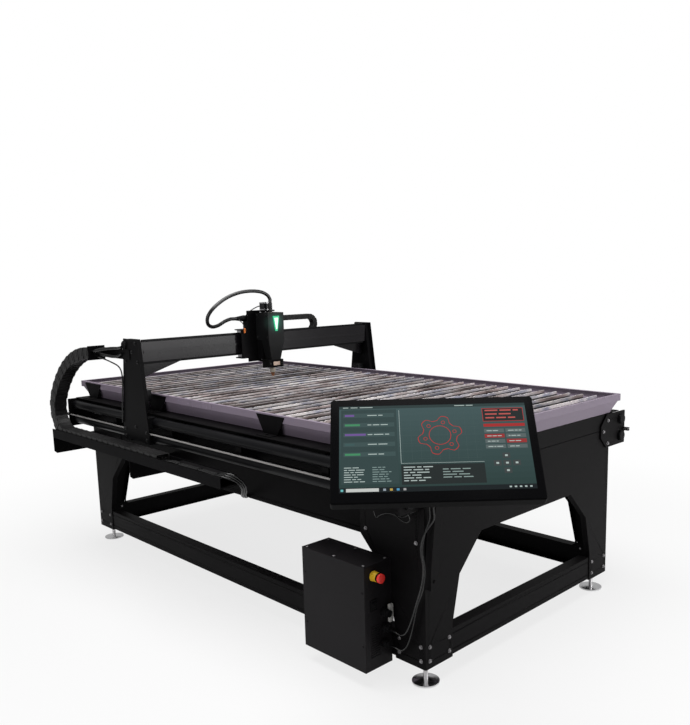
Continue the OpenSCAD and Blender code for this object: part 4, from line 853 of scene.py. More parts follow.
PLASTIC = Coat("dark plastic", (0.005, 0.005, 0.0055), rough=0.5, dust=0.03, grain=0.18, specular=0.08)
CHAIN_PLASTIC = Coat(
    "chain plastic", (0.0075, 0.0072, 0.0076), rough=0.36, dust=0.06, grain=0.1, specular=0.2
)
CABLE = Coat("cable sheath", (0.0035, 0.0035, 0.0038), rough=0.24, dust=0.02, grain=0.05, specular=0.5)
MOTOR = Coat("motor lacquer", (0.006, 0.006, 0.0066), rough=0.28, dust=0.06)
BOX_GREY = Coat("box paint", (0.01, 0.009, 0.0102), rough=0.44, dust=0.03, grain=0.2, specular=0.1)
YELLOW = Coat("yellow plastic", (0.68, 0.42, 0.015), rough=0.4, dust=0.1)
RED = Coat("red plastic", (0.78, 0.035, 0.028), rough=0.25, dust=0.03, specular=0.4)
CREAM = Coat("torch ceramic", (0.62, 0.56, 0.47), rough=0.4, dust=0.1, stain=0.5)
PALE = Coat("pale connector", (0.5, 0.49, 0.47), rough=0.45, dust=0.15)
BELT_PALE = Coat("belt back", (0.3, 0.29, 0.285), rough=0.55, dust=0.1)
BELT_BLACK = Coat("belt black", (0.01, 0.01, 0.01), rough=0.6, dust=0.08)
BELT_GREY = Coat("belt grey", (0.0075, 0.0064, 0.008), rough=0.22, dust=0.04, grain=0.1, specular=0.26)
ORANGE = Coat("orange sleeve", (0.62, 0.16, 0.03), rough=0.45)
BLUE_CASE = Coat("drive case", (0.02, 0.06, 0.16), rough=0.45)
BOLT = Metal("bolt steel", (0.3, 0.29, 0.3), rough=0.34, tarnish=0.5, tarnish_colour=(0.1, 0.095, 0.095))
ZINC = Metal("zinc plate", (0.62, 0.61, 0.62), rough=0.3, tarnish=0.25, tarnish_colour=(0.3, 0.28, 0.26))
STEEL = Metal("ground steel", (0.58, 0.58, 0.6), rough=0.22, tarnish=0.12, lines=(1.0, 0.05, 1.0))
ALUMINIUM = Metal("machined aluminium", (0.72, 0.72, 0.73), rough=0.3, tarnish=0.08)
BRASS = Metal("clamp brass", (0.52, 0.4, 0.33), rough=0.42, tarnish=0.4, tarnish_colour=(0.16, 0.11, 0.09))
COPPER = Metal("copper", (0.72, 0.33, 0.17), rough=0.28, tarnish=0.35, tarnish_colour=(0.16, 0.07, 0.04))
SUPPORT_STEEL = Metal(
    "support steel", (0.16, 0.14, 0.14), rough=0.5, tarnish=0.6, tarnish_colour=(0.09, 0.045, 0.03)
)
CHROME = Metal(
    "chrome foot", (0.9, 0.9, 0.91), rough=0.14, tarnish=0.1, tarnish_colour=(0.4, 0.38, 0.36), depth=0.02
)
CASE_BLACK = Coat("monitor case", (0.0028, 0.0028, 0.003), rough=0.5, dust=0.0, grain=0.12, specular=0.03)
GLASS_BLACK = Coat(
    "display glass", (0.0035, 0.0035, 0.004), rough=0.14, dust=0.0, cloud=0.0, grain=0.0, specular=0.02
)
DISPLAY = Lit("display picture", strength=1.0)
GREEN_LIGHT = Glow("green light", (0.015, 0.44, 0.2), strength=1.0)
# The head cover's emission is painted light: the teal light of the green lamp on the cover's front.
HEAD_COVER_PAINTED_LIGHT = PaintedLightCoat(
    "head cover", (0.0065, 0.0068, 0.0072), rough=0.4, dust=0.04, grain=0.1, specular=0.16,
    painted_light=(0.2, 0.85, 0.62), reach=0.085, strength=0.14,
)
GREEN_CORE = Glow("green light core", (0.62, 1.0, 0.7), strength=1.6)


# Pieces


@dataclass
class MeshMaker:
    """Makes mesh objects from millimetre points in the stand's frame."""

    origin: Array
    thick_cord: float = 4.0
    cord_sides: tuple[int, int] = (12, 20)

    def metres(self, points: Array) -> Array:
        """Moves millimetre points of the stand's frame into the row frame, in metres."""
        return (np.asarray(points, float) + self.origin) * 0.001

    def piece(
        self, name: str, shape: Shape, finish: Finish, body: Body | str | None, smooth: float | None = 35.0,
        replaces: Sequence[str] = (), slot: str | None = None,
    ) -> bpy.types.Object:
        """Makes one object, dresses it and sets it on its body.

        Args:
            name: the object's name.
            shape: points and faces in millimetres.
            finish: what it is dressed in.
            body: the CAD body that it moves with, or None for a piece that is left unattached.
            smooth: edges flatter than this many degrees are shaded smooth, or None for flat faces.
            replaces: CAD nodes that it stands for.
            slot: a material slot name; not used.

        Returns:
            The object, at the origin, with its place in its mesh.
        """
        points, faces = shape
        mesh = bpy.data.meshes.new(name)
        mesh.from_pydata(self.metres(points).tolist(), [], faces)
        if smooth is not None:
            mesh.shade_smooth()
            mesh.set_sharp_from_angle(angle=math.radians(smooth))
        mesh.materials.append(finish.material())
        mesh.update()
        obj = bpy.data.objects.new(name, mesh)
        bpy.context.scene.collection.objects.link(obj)
        if body is not None:
            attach(obj, body.value if isinstance(body, Body) else body)
        if replaces:
            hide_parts(*replaces)
        log.info("%s: %d faces", name, len(faces))
        return obj

    def cord(
        self, name: str, path: Array, radius: float, body: Body | str | None, lay: str = "loose",
        finish: Finish | None = None, replaces: Sequence[str] = (),
    ) -> bpy.types.Object:
        """Args:
            name: the object's name.
            path: (n, 3) centre line in millimetres.
            radius: its radius.
            body: the CAD body that it moves with, or None for a cord that is left unattached.
            lay: how it lies; not used.
            finish: its sheath, black where none is given.
            replaces: CAD nodes that it stands for.

        Returns:
            The object.
        """
        few, many = self.cord_sides
        sides = many if radius > self.thick_cord else few
        path = thinned(path)
        obj = self.piece(name, tube(path, radius, sides), finish or CABLE, body, 60, replaces, "cable")
        return obj


@dataclass
class Dresser:
    """Dresses CAD nodes in their finishes and breaks their sharp edges."""

    nodes: dict[str, bpy.types.Object]
    weld: float = 2e-5
    sharp: float = math.radians(38)

    def dress(self, finish: Finish, *names: str, edge: float = 1.0, segments: int = 2) -> None:
        """Gives nodes a finish and a small rounded edge.

        Args:
            finish: the finish.
            names: CAD nodes.
            edge: width of the rounding in millimetres, or 0 for none.
            segments: steps of the rounding.
        """
        for name in names:
            node = self.nodes[name]
            node.data.materials.clear()
            node.data.materials.append(finish.material())
            if "custom_normal" in node.data.attributes:
                node.data.attributes.remove(node.data.attributes["custom_normal"])
            node.data.shade_smooth()
            node.modifiers.new("weld", "WELD").merge_threshold = self.weld
            if edge > 0:
                bevel = node.modifiers.new("edge", "BEVEL")
                bevel.width = edge * 0.001
                bevel.segments = segments
                bevel.limit_method = "ANGLE"
                bevel.angle_limit = self.sharp
                bevel.harden_normals = True
                bevel.miter_outer = "MITER_ARC"
            else:
                node.modifiers.new("sharp", "EDGE_SPLIT").split_angle = self.sharp
            log.info("dressed %s", name)


@dataclass
class Workshop:
    """What every sub-assembly needs to make its pieces."""

    maker: MeshMaker
    dresser: Dresser


@dataclass
class Assembly:
    """A sub-assembly, with its sizes as fields."""

    shop: Workshop

    def build(self) -> None:
        """Makes the new pieces, where there are any."""

    def dress(self) -> None:
        """Gives the CAD pieces their finishes, where there are any."""


@dataclass
class Stand(Assembly):
    """Folded-sheet stand with its feet, panels, beams and bolts."""

    half_l: float = 1283.0
    half_w: float = 647.0
    foot_in: tuple[float, float] = (48.0, 52.0)
    stud_low: float = 12.0
    stud_top: float = 63.0
    stud_r: float = 8.1
    thread: float = 0.55
    thread_pitch: float = 3.0

    def foot_places(self) -> dict[str, tuple[float, float]]:
        """Works out where the feet stand, from the stand's corners.

        Returns:
            X and Y for each foot, by the name of its body.
        """
        fx, fy = self.half_l - self.foot_in[0], self.half_w - self.foot_in[1]
        return {
            "foot_front_left": (fx, -fy), "foot_front_right": (fx, fy),
            "foot_rear_left": (-fx, -fy), "foot_rear_right": (-fx, fy),
        }

    def build(self) -> None:
        """Cuts a thread on each foot's stud: a radius that rises and falls along its height."""
        z = np.linspace(self.stud_low, self.stud_top, 86)
        r = self.stud_r + self.thread * np.abs(np.sin(np.pi * (z - self.stud_low) / self.thread_pitch))
        stud = lathe(list(zip(r, z)), 24)
        for name, (x, y) in self.foot_places().items():
            self.shop.maker.piece(f"{name}_thread", (stud[0] + [x, y, 0], stud[1]), ZINC, name, 60)

    def dress(self) -> None:
        """Paints the sheet metal and plates the feet and bolts."""
        d = self.shop.dresser
        frames = ("end_frame_front", "end_frame_rear", "lower_side_beams", "lower_end_beams")
        d.dress(FRAME_BLACK, *frames, edge=1.2)
        d.dress(PANEL_BLACK, "side_panels", edge=1.2)
        # The pan brackets are black sheets laid on the pan's outer walls, shaped after dark patches there.
        d.dress(PANEL_BLACK, "pan_brackets", edge=0.6)
        d.dress(CHROME, *self.foot_places(), edge=0.8)
        d.dress(BOLT, "frame_bolts", edge=0.5)


@dataclass
class Bed(Assembly):
    """Water pan with its joint strips, and the bed of worn slats."""

    pan_y: float = 682.0
    rim_z: float = 905.0
    rim_top: float = 937.0
    slat_t: float = 4.0
    slat_top: float = 927.0
    slat_bottom: float = 832.0
    slat_half: float = 630.5
    slat_pitch: float = 72.0
    slat_count: int = 35
    stations: int = 330
    sway: float = 1.4
    ripple: float = 0.7
    kerfs: int = 18
    kerf_deep: tuple[float, float] = (0.5, 3.2)
    kerf_wide: tuple[float, float] = (4.5, 14.0)
    strip: tuple[float, float] = (48.0, 1.6)
    strip_x: float = 5.0

    def slats(self) -> Shape:
        """Each slat is a bar whose top edge sways in slow waves, with ripples and random kerfs cut into it.

        Returns:
            All the slats as one shape.
        """
        rng = np.random.default_rng(7)
        y = np.linspace(-self.slat_half, self.slat_half, self.stations)
        middle = (np.arange(self.slat_count) - (self.slat_count - 1) / 2) * self.slat_pitch
        phase = rng.uniform(0, 6.28, (self.slat_count, 3, 1))
        wave = np.sin(y / 310 + phase[:, 0]) + 0.5 * np.sin(y / 97 + phase[:, 1])
        rough = self.ripple * np.abs(np.sin(y / 11 + phase[:, 2]) * np.sin(y / 7.3 + phase[:, 0]))
        cut_y = rng.uniform(-self.slat_half, self.slat_half, (self.slat_count, self.kerfs, 1))
        deep = rng.uniform(*self.kerf_deep, cut_y.shape)
        wide = rng.uniform(*self.kerf_wide, cut_y.shape)
        kerf = (deep * np.clip(1 - np.abs(y - cut_y) / wide, 0, 1)).max(1)
        top = self.slat_top - rough - kerf
        lean = middle[:, None] + self.sway * wave
        half = self.slat_t / 2
        low = np.full_like(top, self.slat_bottom)
        rows = np.broadcast_to(y, top.shape)
        straight = np.broadcast_to(middle[:, None], top.shape)
        ring = np.stack(
            [
                np.stack([straight - half, rows, low], -1), np.stack([straight + half, rows, low], -1),
                np.stack([lean + half, rows, top], -1), np.stack([lean - half, rows, top], -1),
            ],
            axis=2,
        )
        first = np.arange(self.slat_count) * self.stations * 4
        faces = (np.array(bar_faces(self.stations))[None] + first[:, None, None]).reshape(-1, 4)
        return ring.reshape(-1, 3), [tuple(f) for f in faces.tolist()]

    def joint_strips(self) -> Shape:
        """Flat cover strips over the pan's joint, on the rim of both long sides.

        Returns:
            Both strips.
        """
        wide, thick = self.strip
        size = (wide, thick, self.rim_top - self.rim_z - 3)
        y, z = self.pan_y + thick / 2, (self.rim_z + self.rim_top) / 2
        return join(*(block(size, (self.strip_x, side * y, z), 0.4) for side in (-1, 1)))

    def build(self) -> None:
        """Makes the slats and the joint strips."""
        m = self.shop.maker
        steel = HotSteel("slat steel", self.slat_top / 1000, self.slat_pitch / 1000)
        m.piece("slat_bed", self.slats(), steel, Body.STAND, 30, replaces=["slats"], slot="slat_steel")
        m.piece("pan_joint_strips", self.joint_strips(), PAN_GREY, Body.STAND, slot="pan_paint")

    def dress(self) -> None:
        """Paints the pan and leaves the supports bare."""
        self.shop.dresser.dress(PAN_GREY, "water_pan", edge=1.0)
        self.shop.dresser.dress(SUPPORT_STEEL, "slat_supports", edge=0)


@dataclass
class Rails(Assembly):
    """Round rail tubes, their end plates and caps, and the toothed drive belts."""

    rail_y: float = 736.0
    rail_zs: tuple[float, float] = (729.0, 809.0)
    rail_r: float = 24.0
    tube_end: float = 1301.0
    belt_y: float = 763.0
    belt_w: float = 14.0
    belt_bot: float = 755.0
    belt_t: float = 3.0
    belt_web: float = 1.7
    belt_half: float = 1319.0
    pitch: float = 5.0

    def caps(self) -> Shape:
        """A shallow domed cap on each tube's end.

        Returns:
            All the caps.
        """
        r = self.rail_r - 0.6
        cap = lathe([(r, 0), (r, 2), (self.rail_r - 3, 4.5), (8, 5.5), (0, 5.6)], 36)
        shapes = []
        for x, flip in ((self.tube_end, False), (-self.tube_end, True)):
            for y in (-self.rail_y, self.rail_y):
                shapes += [turn(cap, Axis.X, (x, y, z), flip) for z in self.rail_zs]
        return join(*shapes)

    def belt(self, side: int) -> Shape:
        """A flat band whose top rises and falls by a tooth every pitch.

        Args:
            side: -1 for the front rail and 1 for the back one.

        Returns:
            The closed band.
        """
        count = int(2 * self.belt_half / self.pitch)
        share = np.array([0.0, 0.12, 0.5, 0.62])
        lift = np.array([0.0, 1.0, 1.0, 0.0])
        x = ((np.arange(count)[:, None] + share) * self.pitch - self.belt_half).ravel()
        top = self.belt_bot + self.belt_web + np.tile(lift, count) * (self.belt_t - self.belt_web)
        y0 = side * (self.belt_y + self.belt_w / 2)
        near, far = np.full_like(x, y0 - self.belt_w / 2), np.full_like(x, y0 + self.belt_w / 2)
        low = np.full_like(x, self.belt_bot)
        corners = ((near, low), (near, top), (far, top), (far, low))
        ring = np.stack([np.stack([x, y, z], -1) for y, z in corners], axis=1)
        return ring.reshape(-1, 3), bar_faces(len(x))

    def build(self) -> None:
        """Makes the caps and belts."""
        m = self.shop.maker
        m.piece("tube_caps", self.caps(), PLASTIC, Body.STAND)
        m.piece(
            "toothed_belts", join(self.belt(-1), self.belt(1)), BELT_PALE, Body.STAND, None,
            replaces=["gantry_belts"], slot="belt",
        )

    def dress(self) -> None:
        """Paints the tubes and plates."""
        d = self.shop.dresser
        d.dress(TUBE_BLACK, "rail_tubes", edge=0.6)
        d.dress(FRAME_BLACK, "rail_mounts", edge=0.8)


@dataclass
class Gantry(Assembly):
    """Two towers and a beam, with their drive, seen as black sheet with a few screws."""

    x: float = -500.0
    face_y: float = 785.0
    screw_rows: tuple[tuple[float, float], ...] = (
        (48, 1195), (11, 1152), (-58, 1105), (62, 1105),
        (-104, 762), (-104, 726), (104, 762), (104, 726), (0, 780),
    )
    hole_at: tuple[float, float] = (-58.0, 1183.0)
    cables: tuple[tuple[str, float, Route], ...] = (
        ("arm_hose_upper", 8.0, (
            (-272, 66, 1146), (-240, 64, 1150), (-200, 50, 1158), (-150, 26, 1164), (-105, 13, 1166),
            (-66, 12, 1172),
        )),
        ("arm_hose_lower", 7.0, (
            (-272, 42, 1134), (-240, 40, 1132), (-195, 30, 1126), (-150, 18, 1122), (-110, 11, 1126),
            (-74, 10, 1140),
        )),
        ("tower_cable", 3.5, (
            (-272, 52, 1122), (-230, 48, 1116), (-170, 24, 1096), (-110, 9, 1070), (-94, 5, 1020),
            (-104, 5, 940), (-116, 5, 860), (-124, 5, 790),
        )),
    )

    def screws(self) -> Shape:
        """Cap screws on the outer face of both towers.

        Returns:
            All the screws.
        """
        shapes = []
        for side, flip in ((-1, True), (1, False)):
            head = turn(cap_screw(6.0, 5.0), Axis.Y, (0, 0, 0), flip)
            places = [(self.x + dx, side * self.face_y, z) for dx, z in self.screw_rows]
            shapes.append(at_points(head, places))
        return join(*shapes)

    def caps(self) -> Shape:
        """Round covers of the towers' cable holes.

        Returns:
            Both covers.
        """
        cap = lathe([(0, 0), (21, 0), (21, 6), (18, 9), (0, 9.5)], 36)
        dx, z = self.hole_at
        sides = ((-1, True), (1, False))
        return join(*(turn(cap, Axis.Y, (self.x + dx, side * self.face_y, z), flip) for side, flip in sides))

    def build(self) -> None:
        """Makes the screws, the round covers, and the cables between chain and tower."""
        m = self.shop.maker
        m.piece("tower_screws", self.screws(), MOTOR, Body.GANTRY)
        m.piece("tower_caps", self.caps(), PLASTIC, Body.GANTRY)
        for name, radius, route in self.cables:
            points = [(self.x + x, -self.face_y - out, z) for x, out, z in route]
            m.cord(name, smooth_path(points), radius, Body.GANTRY)

    def dress(self) -> None:
        """Paints towers, beam and its blackened rails, and leaves the drive bare."""
        d = self.shop.dresser
        d.dress(GANTRY_BLACK, "gantry_tower_left", "gantry_tower_right", "chain_arm", edge=1.2)
        d.dress(BEAM_GREY, "gantry_beam", edge=2.0)
        d.dress(TUBE_BLACK, "beam_rails", edge=0.6)
        d.dress(PLASTIC, "guide_shoes", edge=1.0)
        d.dress(MOTOR, "gantry_motors", edge=1.5)
        d.dress(
            ALUMINIUM, "drive_pulley_left", "drive_pulley_right", "idler_left_rear", "idler_left_front",
            "idler_right_rear", "idler_right_front", edge=0.3,
        )
        d.dress(BELT_BLACK, "belt_loops", edge=0.2)
        d.dress(BELT_GREY, "beam_belt", edge=0.2)


@dataclass
class Carriage(Assembly):
    """Carriage on the beam, torch lift and head."""

    x: float = -500.0
    y: float = -45.0
    lead_r: float = 9.2
    lead_route: Route = (
        (150, 0, 1366), (150, 0, 1375), (150, 0, 1384), (148, -14, 1406), (142, -50, 1424), (132, -110, 1430),
        (120, -180, 1422), (106, -250, 1396), (104, -321, 1352), (93, -353, 1308), (82, -349, 1270),
        (72, -319, 1252), (62, -275, 1256), (54, -228, 1275), (50, -190, 1285), (50, -172, 1285),
        (50, -154, 1285),
    )
    wires: tuple[tuple[str, float, Route], ...] = (
        ("lift_motor_wire", 3.0, (
            (84, 0, 1346), (75, -4, 1348), (65, -22, 1344), (58, -52, 1330), (56, -78, 1314), (56, -92, 1300),
        )),
        ("sleeve_wire", 2.5, (
            (89, -129, 1234), (89, -130, 1246), (82, -136, 1262), (66, -140, 1274), (52, -138, 1288),
        )),
    )
    torch_x: float = 150.0
    barrel_r: float = 13.9
    boot_low: float = 1314.0
    boot_top: float = 1366.0
    boot_r: float = 10.8
    boot_rib: float = 1.2
    boot_pitch: float = 6.5
    lens_at: tuple[float, float, float] = (199.0, 0.0, 1314.0)
    light_at: tuple[float, float, float] = (195.0, 0.0, 1262.0)
    cheek: tuple[float, float, float] = (38.0, 2.0, 104.0)
    cheek_at: tuple[float, float, float] = (111.0, 50.8, 1117.0)
    head_half: float = 52.0
    clamp: tuple[float, float, float] = (5.0, 44.0, 20.0)
    clamp_at: tuple[float, float, float] = (187.5, 0.0, 1041.0)
    clamp_screw_y: float = 38.0
    motor_end: tuple[float, float, float] = (42.6, 42.6, 6.0)
    motor_x: float = 104.0
    motor_end_zs: tuple[float, float] = (1329.2, 1364.8)
    sleeve_at: tuple[float, float, float] = (89.0, -129.0, 1209.0)

    def here(self, *point: float) -> tuple[float, float, float]:
        """Moves a point of the carriage's own frame into the stand's."""
        return (point[0] + self.x, point[1] + self.y, point[2])

    def lead(self) -> None:
        """Makes the torch lead along a curved route between the lift and the carriage."""
        path = smooth_path([self.here(*p) for p in self.lead_route], 10)
        m = self.shop.maker
        obj = m.cord("torch_lead_sheath", path, self.lead_r, None, "hanging", replaces=["torch_lead"])
        line = m.metres(path)
        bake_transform(obj)

    def torch(self) -> tuple[Shape, Shape]:
        """Pale torch barrel with a sleeve over the tip, and a boot whose radius swells with each rib.

        Returns:
            Barrel and boot.
        """
        low, top, r = self.boot_low, self.boot_top, self.barrel_r
        sleeve = [(0, 1008), (9, 1008), (11.9, 991.5), (14.3, 996.5), (14.3, 1010), (r, 1012), (r, 1022)]
        groove = [(12.6, 1024), (12.6, 1030), (r, 1032)]
        barrel = lathe([*sleeve, *groove, (r, low), (0, low)], 40)
        z = np.linspace(low, top, 97)
        rib = np.clip(1.6 * np.sin((z - low) / self.boot_pitch * 2 * math.pi), -1, 1)
        boot = lathe([(0, low), *zip(self.boot_r + self.boot_rib * rib, z), (0, top)], 40)
        place = np.array(self.here(self.torch_x, 0, 0))
        return (barrel[0] + place, barrel[1]), (boot[0] + place, boot[1])

    def lens_core(self) -> Shape:
        """Bright middle of the wedge-shaped light.

        Returns:
            A thin wedge that faces forward.
        """
        x, y, z = self.here(*self.lens_at)
        outline = np.array([(-3.0, -88), (3.0, -88), (12.5, -28), (-12.5, -28)])
        core = slab(outline, 0.6, 0.2)
        return np.stack([x + core[0][:, 2], y + core[0][:, 0], z + core[0][:, 1]], 1), core[1]

    def fittings(self) -> Shape:
        """Cap screws on the head's cheeks and clamp.

        Returns:
            All the screws.
        """
        screw = cap_screw(3.6, 3.0)
        shapes = []
        for side, flip in ((-1, True), (1, False)):
            head = turn(screw, Axis.Y, (0, 0, 0), flip)
            y = side * self.head_half
            shapes.append(at_points(head, [self.here(x, y, z) for x in (98, 182) for z in (1182, 1300)]))
        front = turn(screw, Axis.X, (0, 0, 0), False)
        x, z = self.clamp_at[0] - self.clamp[0] / 2, self.clamp_at[2]
        shapes.append(at_points(front, [self.here(x, side * self.clamp_screw_y, z) for side in (-1, 1)]))
        return join(*shapes)

    def build(self) -> None:
        """Makes the lead and the small pieces on head and carriage."""
        m = self.shop.maker
        self.lead()
        barrel, boot = self.torch()
        m.piece("torch_barrel", barrel, CREAM, Body.HEAD, replaces=["torch"], slot="dark_plastic")
        m.piece("torch_boot", boot, CABLE, Body.HEAD, 50)
        m.piece("light_core", self.lens_core(), GREEN_CORE, Body.HEAD)
        m.piece("head_screws", self.fittings(), MOTOR, Body.HEAD)
        x, y, z = self.cheek_at
        cheeks = join(*(block(self.cheek, self.here(x, side * y, z), 0.4) for side in (-1, 1)))
        m.piece("lift_cheeks", cheeks, GANTRY_BLACK, Body.HEAD)
        m.piece("clamp_plate", block(self.clamp, self.here(*self.clamp_at), 1.2, 3.0), BRASS, Body.HEAD)
        ends = (self.here(self.motor_x, 0, z) for z in self.motor_end_zs)
        m.piece(
            "lift_motor_ends", join(*(block(self.motor_end, at, 0.8, 4.0) for at in ends)), ALUMINIUM,
            Body.CARRIAGE,
        )
        sleeve = lathe([(0, 0), (5.5, 0), (5.5, 24), (4, 26), (0, 26)], 24)
        m.piece("wire_sleeve", (sleeve[0] + self.here(*self.sleeve_at), sleeve[1]), ORANGE, Body.CARRIAGE)
        for name, radius, route in self.wires:
            m.cord(name, smooth_path([self.here(*p) for p in route]), radius, Body.CARRIAGE)

    def dress(self) -> None:
        """Dresses carriage, lift and head."""
        d = self.shop.dresser
        d.dress(GANTRY_BLACK, "carriage_plate", "head_body", edge=1.2)
        d.dress(STEEL, "carriage_guides", "lift_screw", edge=0.4)
        d.dress(MOTOR, "carriage_motor", "lift_motor", edge=1.5)
        d.dress(ALUMINIUM, "carriage_pulley", edge=0.3)
        # The head cover gets painted light centred on the green lamp.
        light = self.shop.maker.metres(np.array(self.here(*self.light_at)))
        d.dress(replace(HEAD_COVER_PAINTED_LIGHT, centre=tuple(light.tolist())), "head_cover", edge=3.0, segments=3)
        d.dress(GREEN_LIGHT, "light_lens", edge=1.0)
        d.dress(PLASTIC, "lead_gland", edge=0.5)
        d.dress(COPPER, "torch_tip", edge=0.4)


@dataclass
class ChainPath:
    """Centre line of a cable chain in a plane: straight runs and arcs, walked by length."""

    start: tuple[float, float]
    heading: float
    parts: tuple[tuple[float, float], ...]

    def length(self) -> float:
        """Whole length of the line."""
        return sum(length for length, _ in self.parts)

    def walk(self, s: Array) -> tuple[Array, Array, Array]:
        """Places and headings at the lengths s: a straight run moves along its heading, and an arc turns it.

        Args:
            s: lengths from the start.

        Returns:
            First and second coordinate, and heading in radians.
        """
        u, v, head = np.zeros_like(s), np.zeros_like(s), np.zeros_like(s)
        a, b, h, done = self.start[0], self.start[1], self.heading, 0.0
        for length, bend in self.parts:
            t = np.clip(s - done, 0, length)
            here = s >= done - 1e-9
            if bend == 0:
                du, dv, nh = t * math.cos(h), t * math.sin(h), np.full_like(t, h)
                end = (length * math.cos(h), length * math.sin(h), h)
            else:
                nh = h + t / bend
                du, dv = bend * (np.sin(nh) - math.sin(h)), bend * (math.cos(h) - np.cos(nh))
                last = h + length / bend
                end = (bend * (math.sin(last) - math.sin(h)), bend * (math.cos(h) - math.cos(last)), last)
            u, v, head = np.where(here, a + du, u), np.where(here, b + dv, v), np.where(here, nh, head)
            a, b, h, done = a + end[0], b + end[1], end[2], done + length
        return u, v, head


def chain_link(pitch: float, height: float, width: float, wall: float) -> Shape:
    """One link: two rounded side plates and the bars that close it above and below.

    Args:
        pitch: distance to the next link.
        height: height of the side plates.
        width: outer width.
        wall: thickness of a side plate.

    Returns:
        The link about its middle, with X along the chain, Y up and Z across it.
    """
    reach = pitch * 1.3
    plate = slab(rounded_rect(reach, height, pitch * 0.34, 4), wall, 0.8)
    rib = slab(rounded_rect(pitch * 0.42, height * 0.5, pitch * 0.12, 3), wall * 0.35, 0.5)
    shapes = [
        (plate[0] + [0, 0, width / 2 - wall], plate[1]), (plate[0] + [0, 0, -width / 2], plate[1]),
        (rib[0] + [0, 0, width / 2 - wall * 0.1], rib[1]),
        (rib[0] + [0, 0, -width / 2 - wall * 0.25], rib[1]),
    ]
    bar = (pitch * 0.82, height * 0.08, width - 2 * wall + 1)
    for side in (-1, 1):
        shapes.append(block(bar, (0, side * height * 0.45, 0), 0.8))
        shapes.append(block((pitch * 0.24, height * 0.04, width * 0.6), (0, side * height * 0.475, 0), 0.5))
    return join(*shapes)


def chain_frames(
    path: ChainPath, pitch: float, along: Axis, middle: float, narrow: float
) -> tuple[Array, Array, float]:
    """Spaces links evenly along a line that lies in an upright plane, with every second link narrower.

    Args:
        path: the chain's line.
        pitch: wanted distance from link to link.
        along: the axis that the line's first coordinate follows, X or Y.
        middle: where the line lies across that axis.
        narrow: width of every second link, as a share.

    Returns:
        The links' lengths along the line, their frames for copies(), and the true pitch.
    """
    total = path.length()
    count = round(total / pitch)
    s = (np.arange(count) + 0.5) * total / count
    u, z, head = path.walk(s)
    a, b = along.value, 1 - along.value
    frames = np.zeros((count, 4, 3))
    frames[:, 0, a], frames[:, 0, 2] = np.cos(head), np.sin(head)
    frames[:, 1, a], frames[:, 1, 2] = -np.sin(head), np.cos(head)
    # The third axis points as the cross product of the other two does
    facing = -1.0 if along is Axis.X else 1.0
    frames[:, 2, b] = np.where(np.arange(count) % 2 == 0, 1.0, narrow) * facing
    frames[:, 3, a], frames[:, 3, b], frames[:, 3, 2] = u, middle, z
    return s, frames, total / count


@dataclass
class GantryChain(Assembly):
    """Large cable chain from its tray to the left tower, in three pieces.

    A row of inside is a cable in the chain: its place across and up from the middle, and its radius.
    """

    fixed_x: float = -154.9
    low_z: float = 673.3
    run: float = 990.0
    bend: float = 130.0
    rise_bend: float = 565.0
    lean: float = 58.0
    middle_y: float = -841.0
    width: float = 70.0
    height: float = 60.0
    pitch: float = 30.0
    wall: float = 5.0
    narrow: float = 0.93
    beyond: float = 50000.0
    inside: Route = ((-18, -6, 8), (2, -8, 7), (19, -5, 8), (-8, 9, 6), (11, 9, 6))

    def path(self) -> ChainPath:
        """Straight along the tray, round the lower turn, and over in a wide arc to the gantry's arm.

        Returns:
            The chain's line in X and Z.
        """
        turn_len = self.bend * math.radians(180 - self.lean)
        rise_len = self.rise_bend * math.radians(self.lean)
        return ChainPath(
            (self.fixed_x, self.low_z), math.pi,
            ((self.run, 0), (turn_len, -self.bend), (rise_len, -self.rise_bend)),
        )

    def build(self) -> None:
        """Sets the links along the path, in one piece for each stretch."""
        path = self.path()
        s, frames, pitch = chain_frames(path, self.pitch, Axis.X, self.middle_y, self.narrow)
        link = chain_link(pitch, self.height, self.width, self.wall)
        first, second, total = self.run, self.run + path.parts[1][0], path.length()
        stretches = {"lower": s < first, "turn": (s >= first) & (s < second), "upper": s >= second}
        px, pz, _ = path.walk(np.array([0.0, first, second, total]))
        metres = self.shop.maker.metres
        spans = {
            "lower": ((px[0], 0, pz[0]), (2 * px[1] - px[0], 0, pz[0])),
            "turn": ((px[1], -self.beyond, pz[1]), (px[1], self.beyond + 2 * self.middle_y, pz[1])),
            "upper": ((2 * px[2] - px[3], 0, pz[2]), (px[3], 0, pz[2])),
        }
        filling = self.cables(path, (0.0, first, second, total))
        for name, chosen in stretches.items():
            shape = join(copies(link, frames[chosen]), filling[name])
            obj = self.shop.maker.piece(
                f"gantry_chain_{name}", shape, CHAIN_PLASTIC, None, 30,
                replaces=["gantry_chain"] if name == "lower" else (), slot="chain_plastic",
            )
            a, b = (metres(np.array(p)) for p in spans[name])
            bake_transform(obj)

    def cables(self, path: ChainPath, cuts: tuple[float, ...]) -> dict[str, Shape]:
        """Cables that fill the chain, cut at the same places as its stretches.

        Args:
            path: the chain's line.
            cuts: lengths where the stretches begin and end.

        Returns:
            One shape for each stretch.
        """
        found = {}
        for name, low, high in zip(("lower", "turn", "upper"), cuts[:-1], cuts[1:]):
            x, z, head = path.walk(np.linspace(low, high, 40))
            shapes = []
            for across, up, r in self.inside:
                side = np.full_like(x, self.middle_y + across)
                shapes.append(tube(np.stack([x - up * np.sin(head), side, z + up * np.cos(head)], 1), r, 10))
            found[name] = join(*shapes)
        return found

    def dress(self) -> None:
        """Paints the tray."""
        self.shop.dresser.dress(TRAY_BLACK, "chain_tray", edge=0.8)


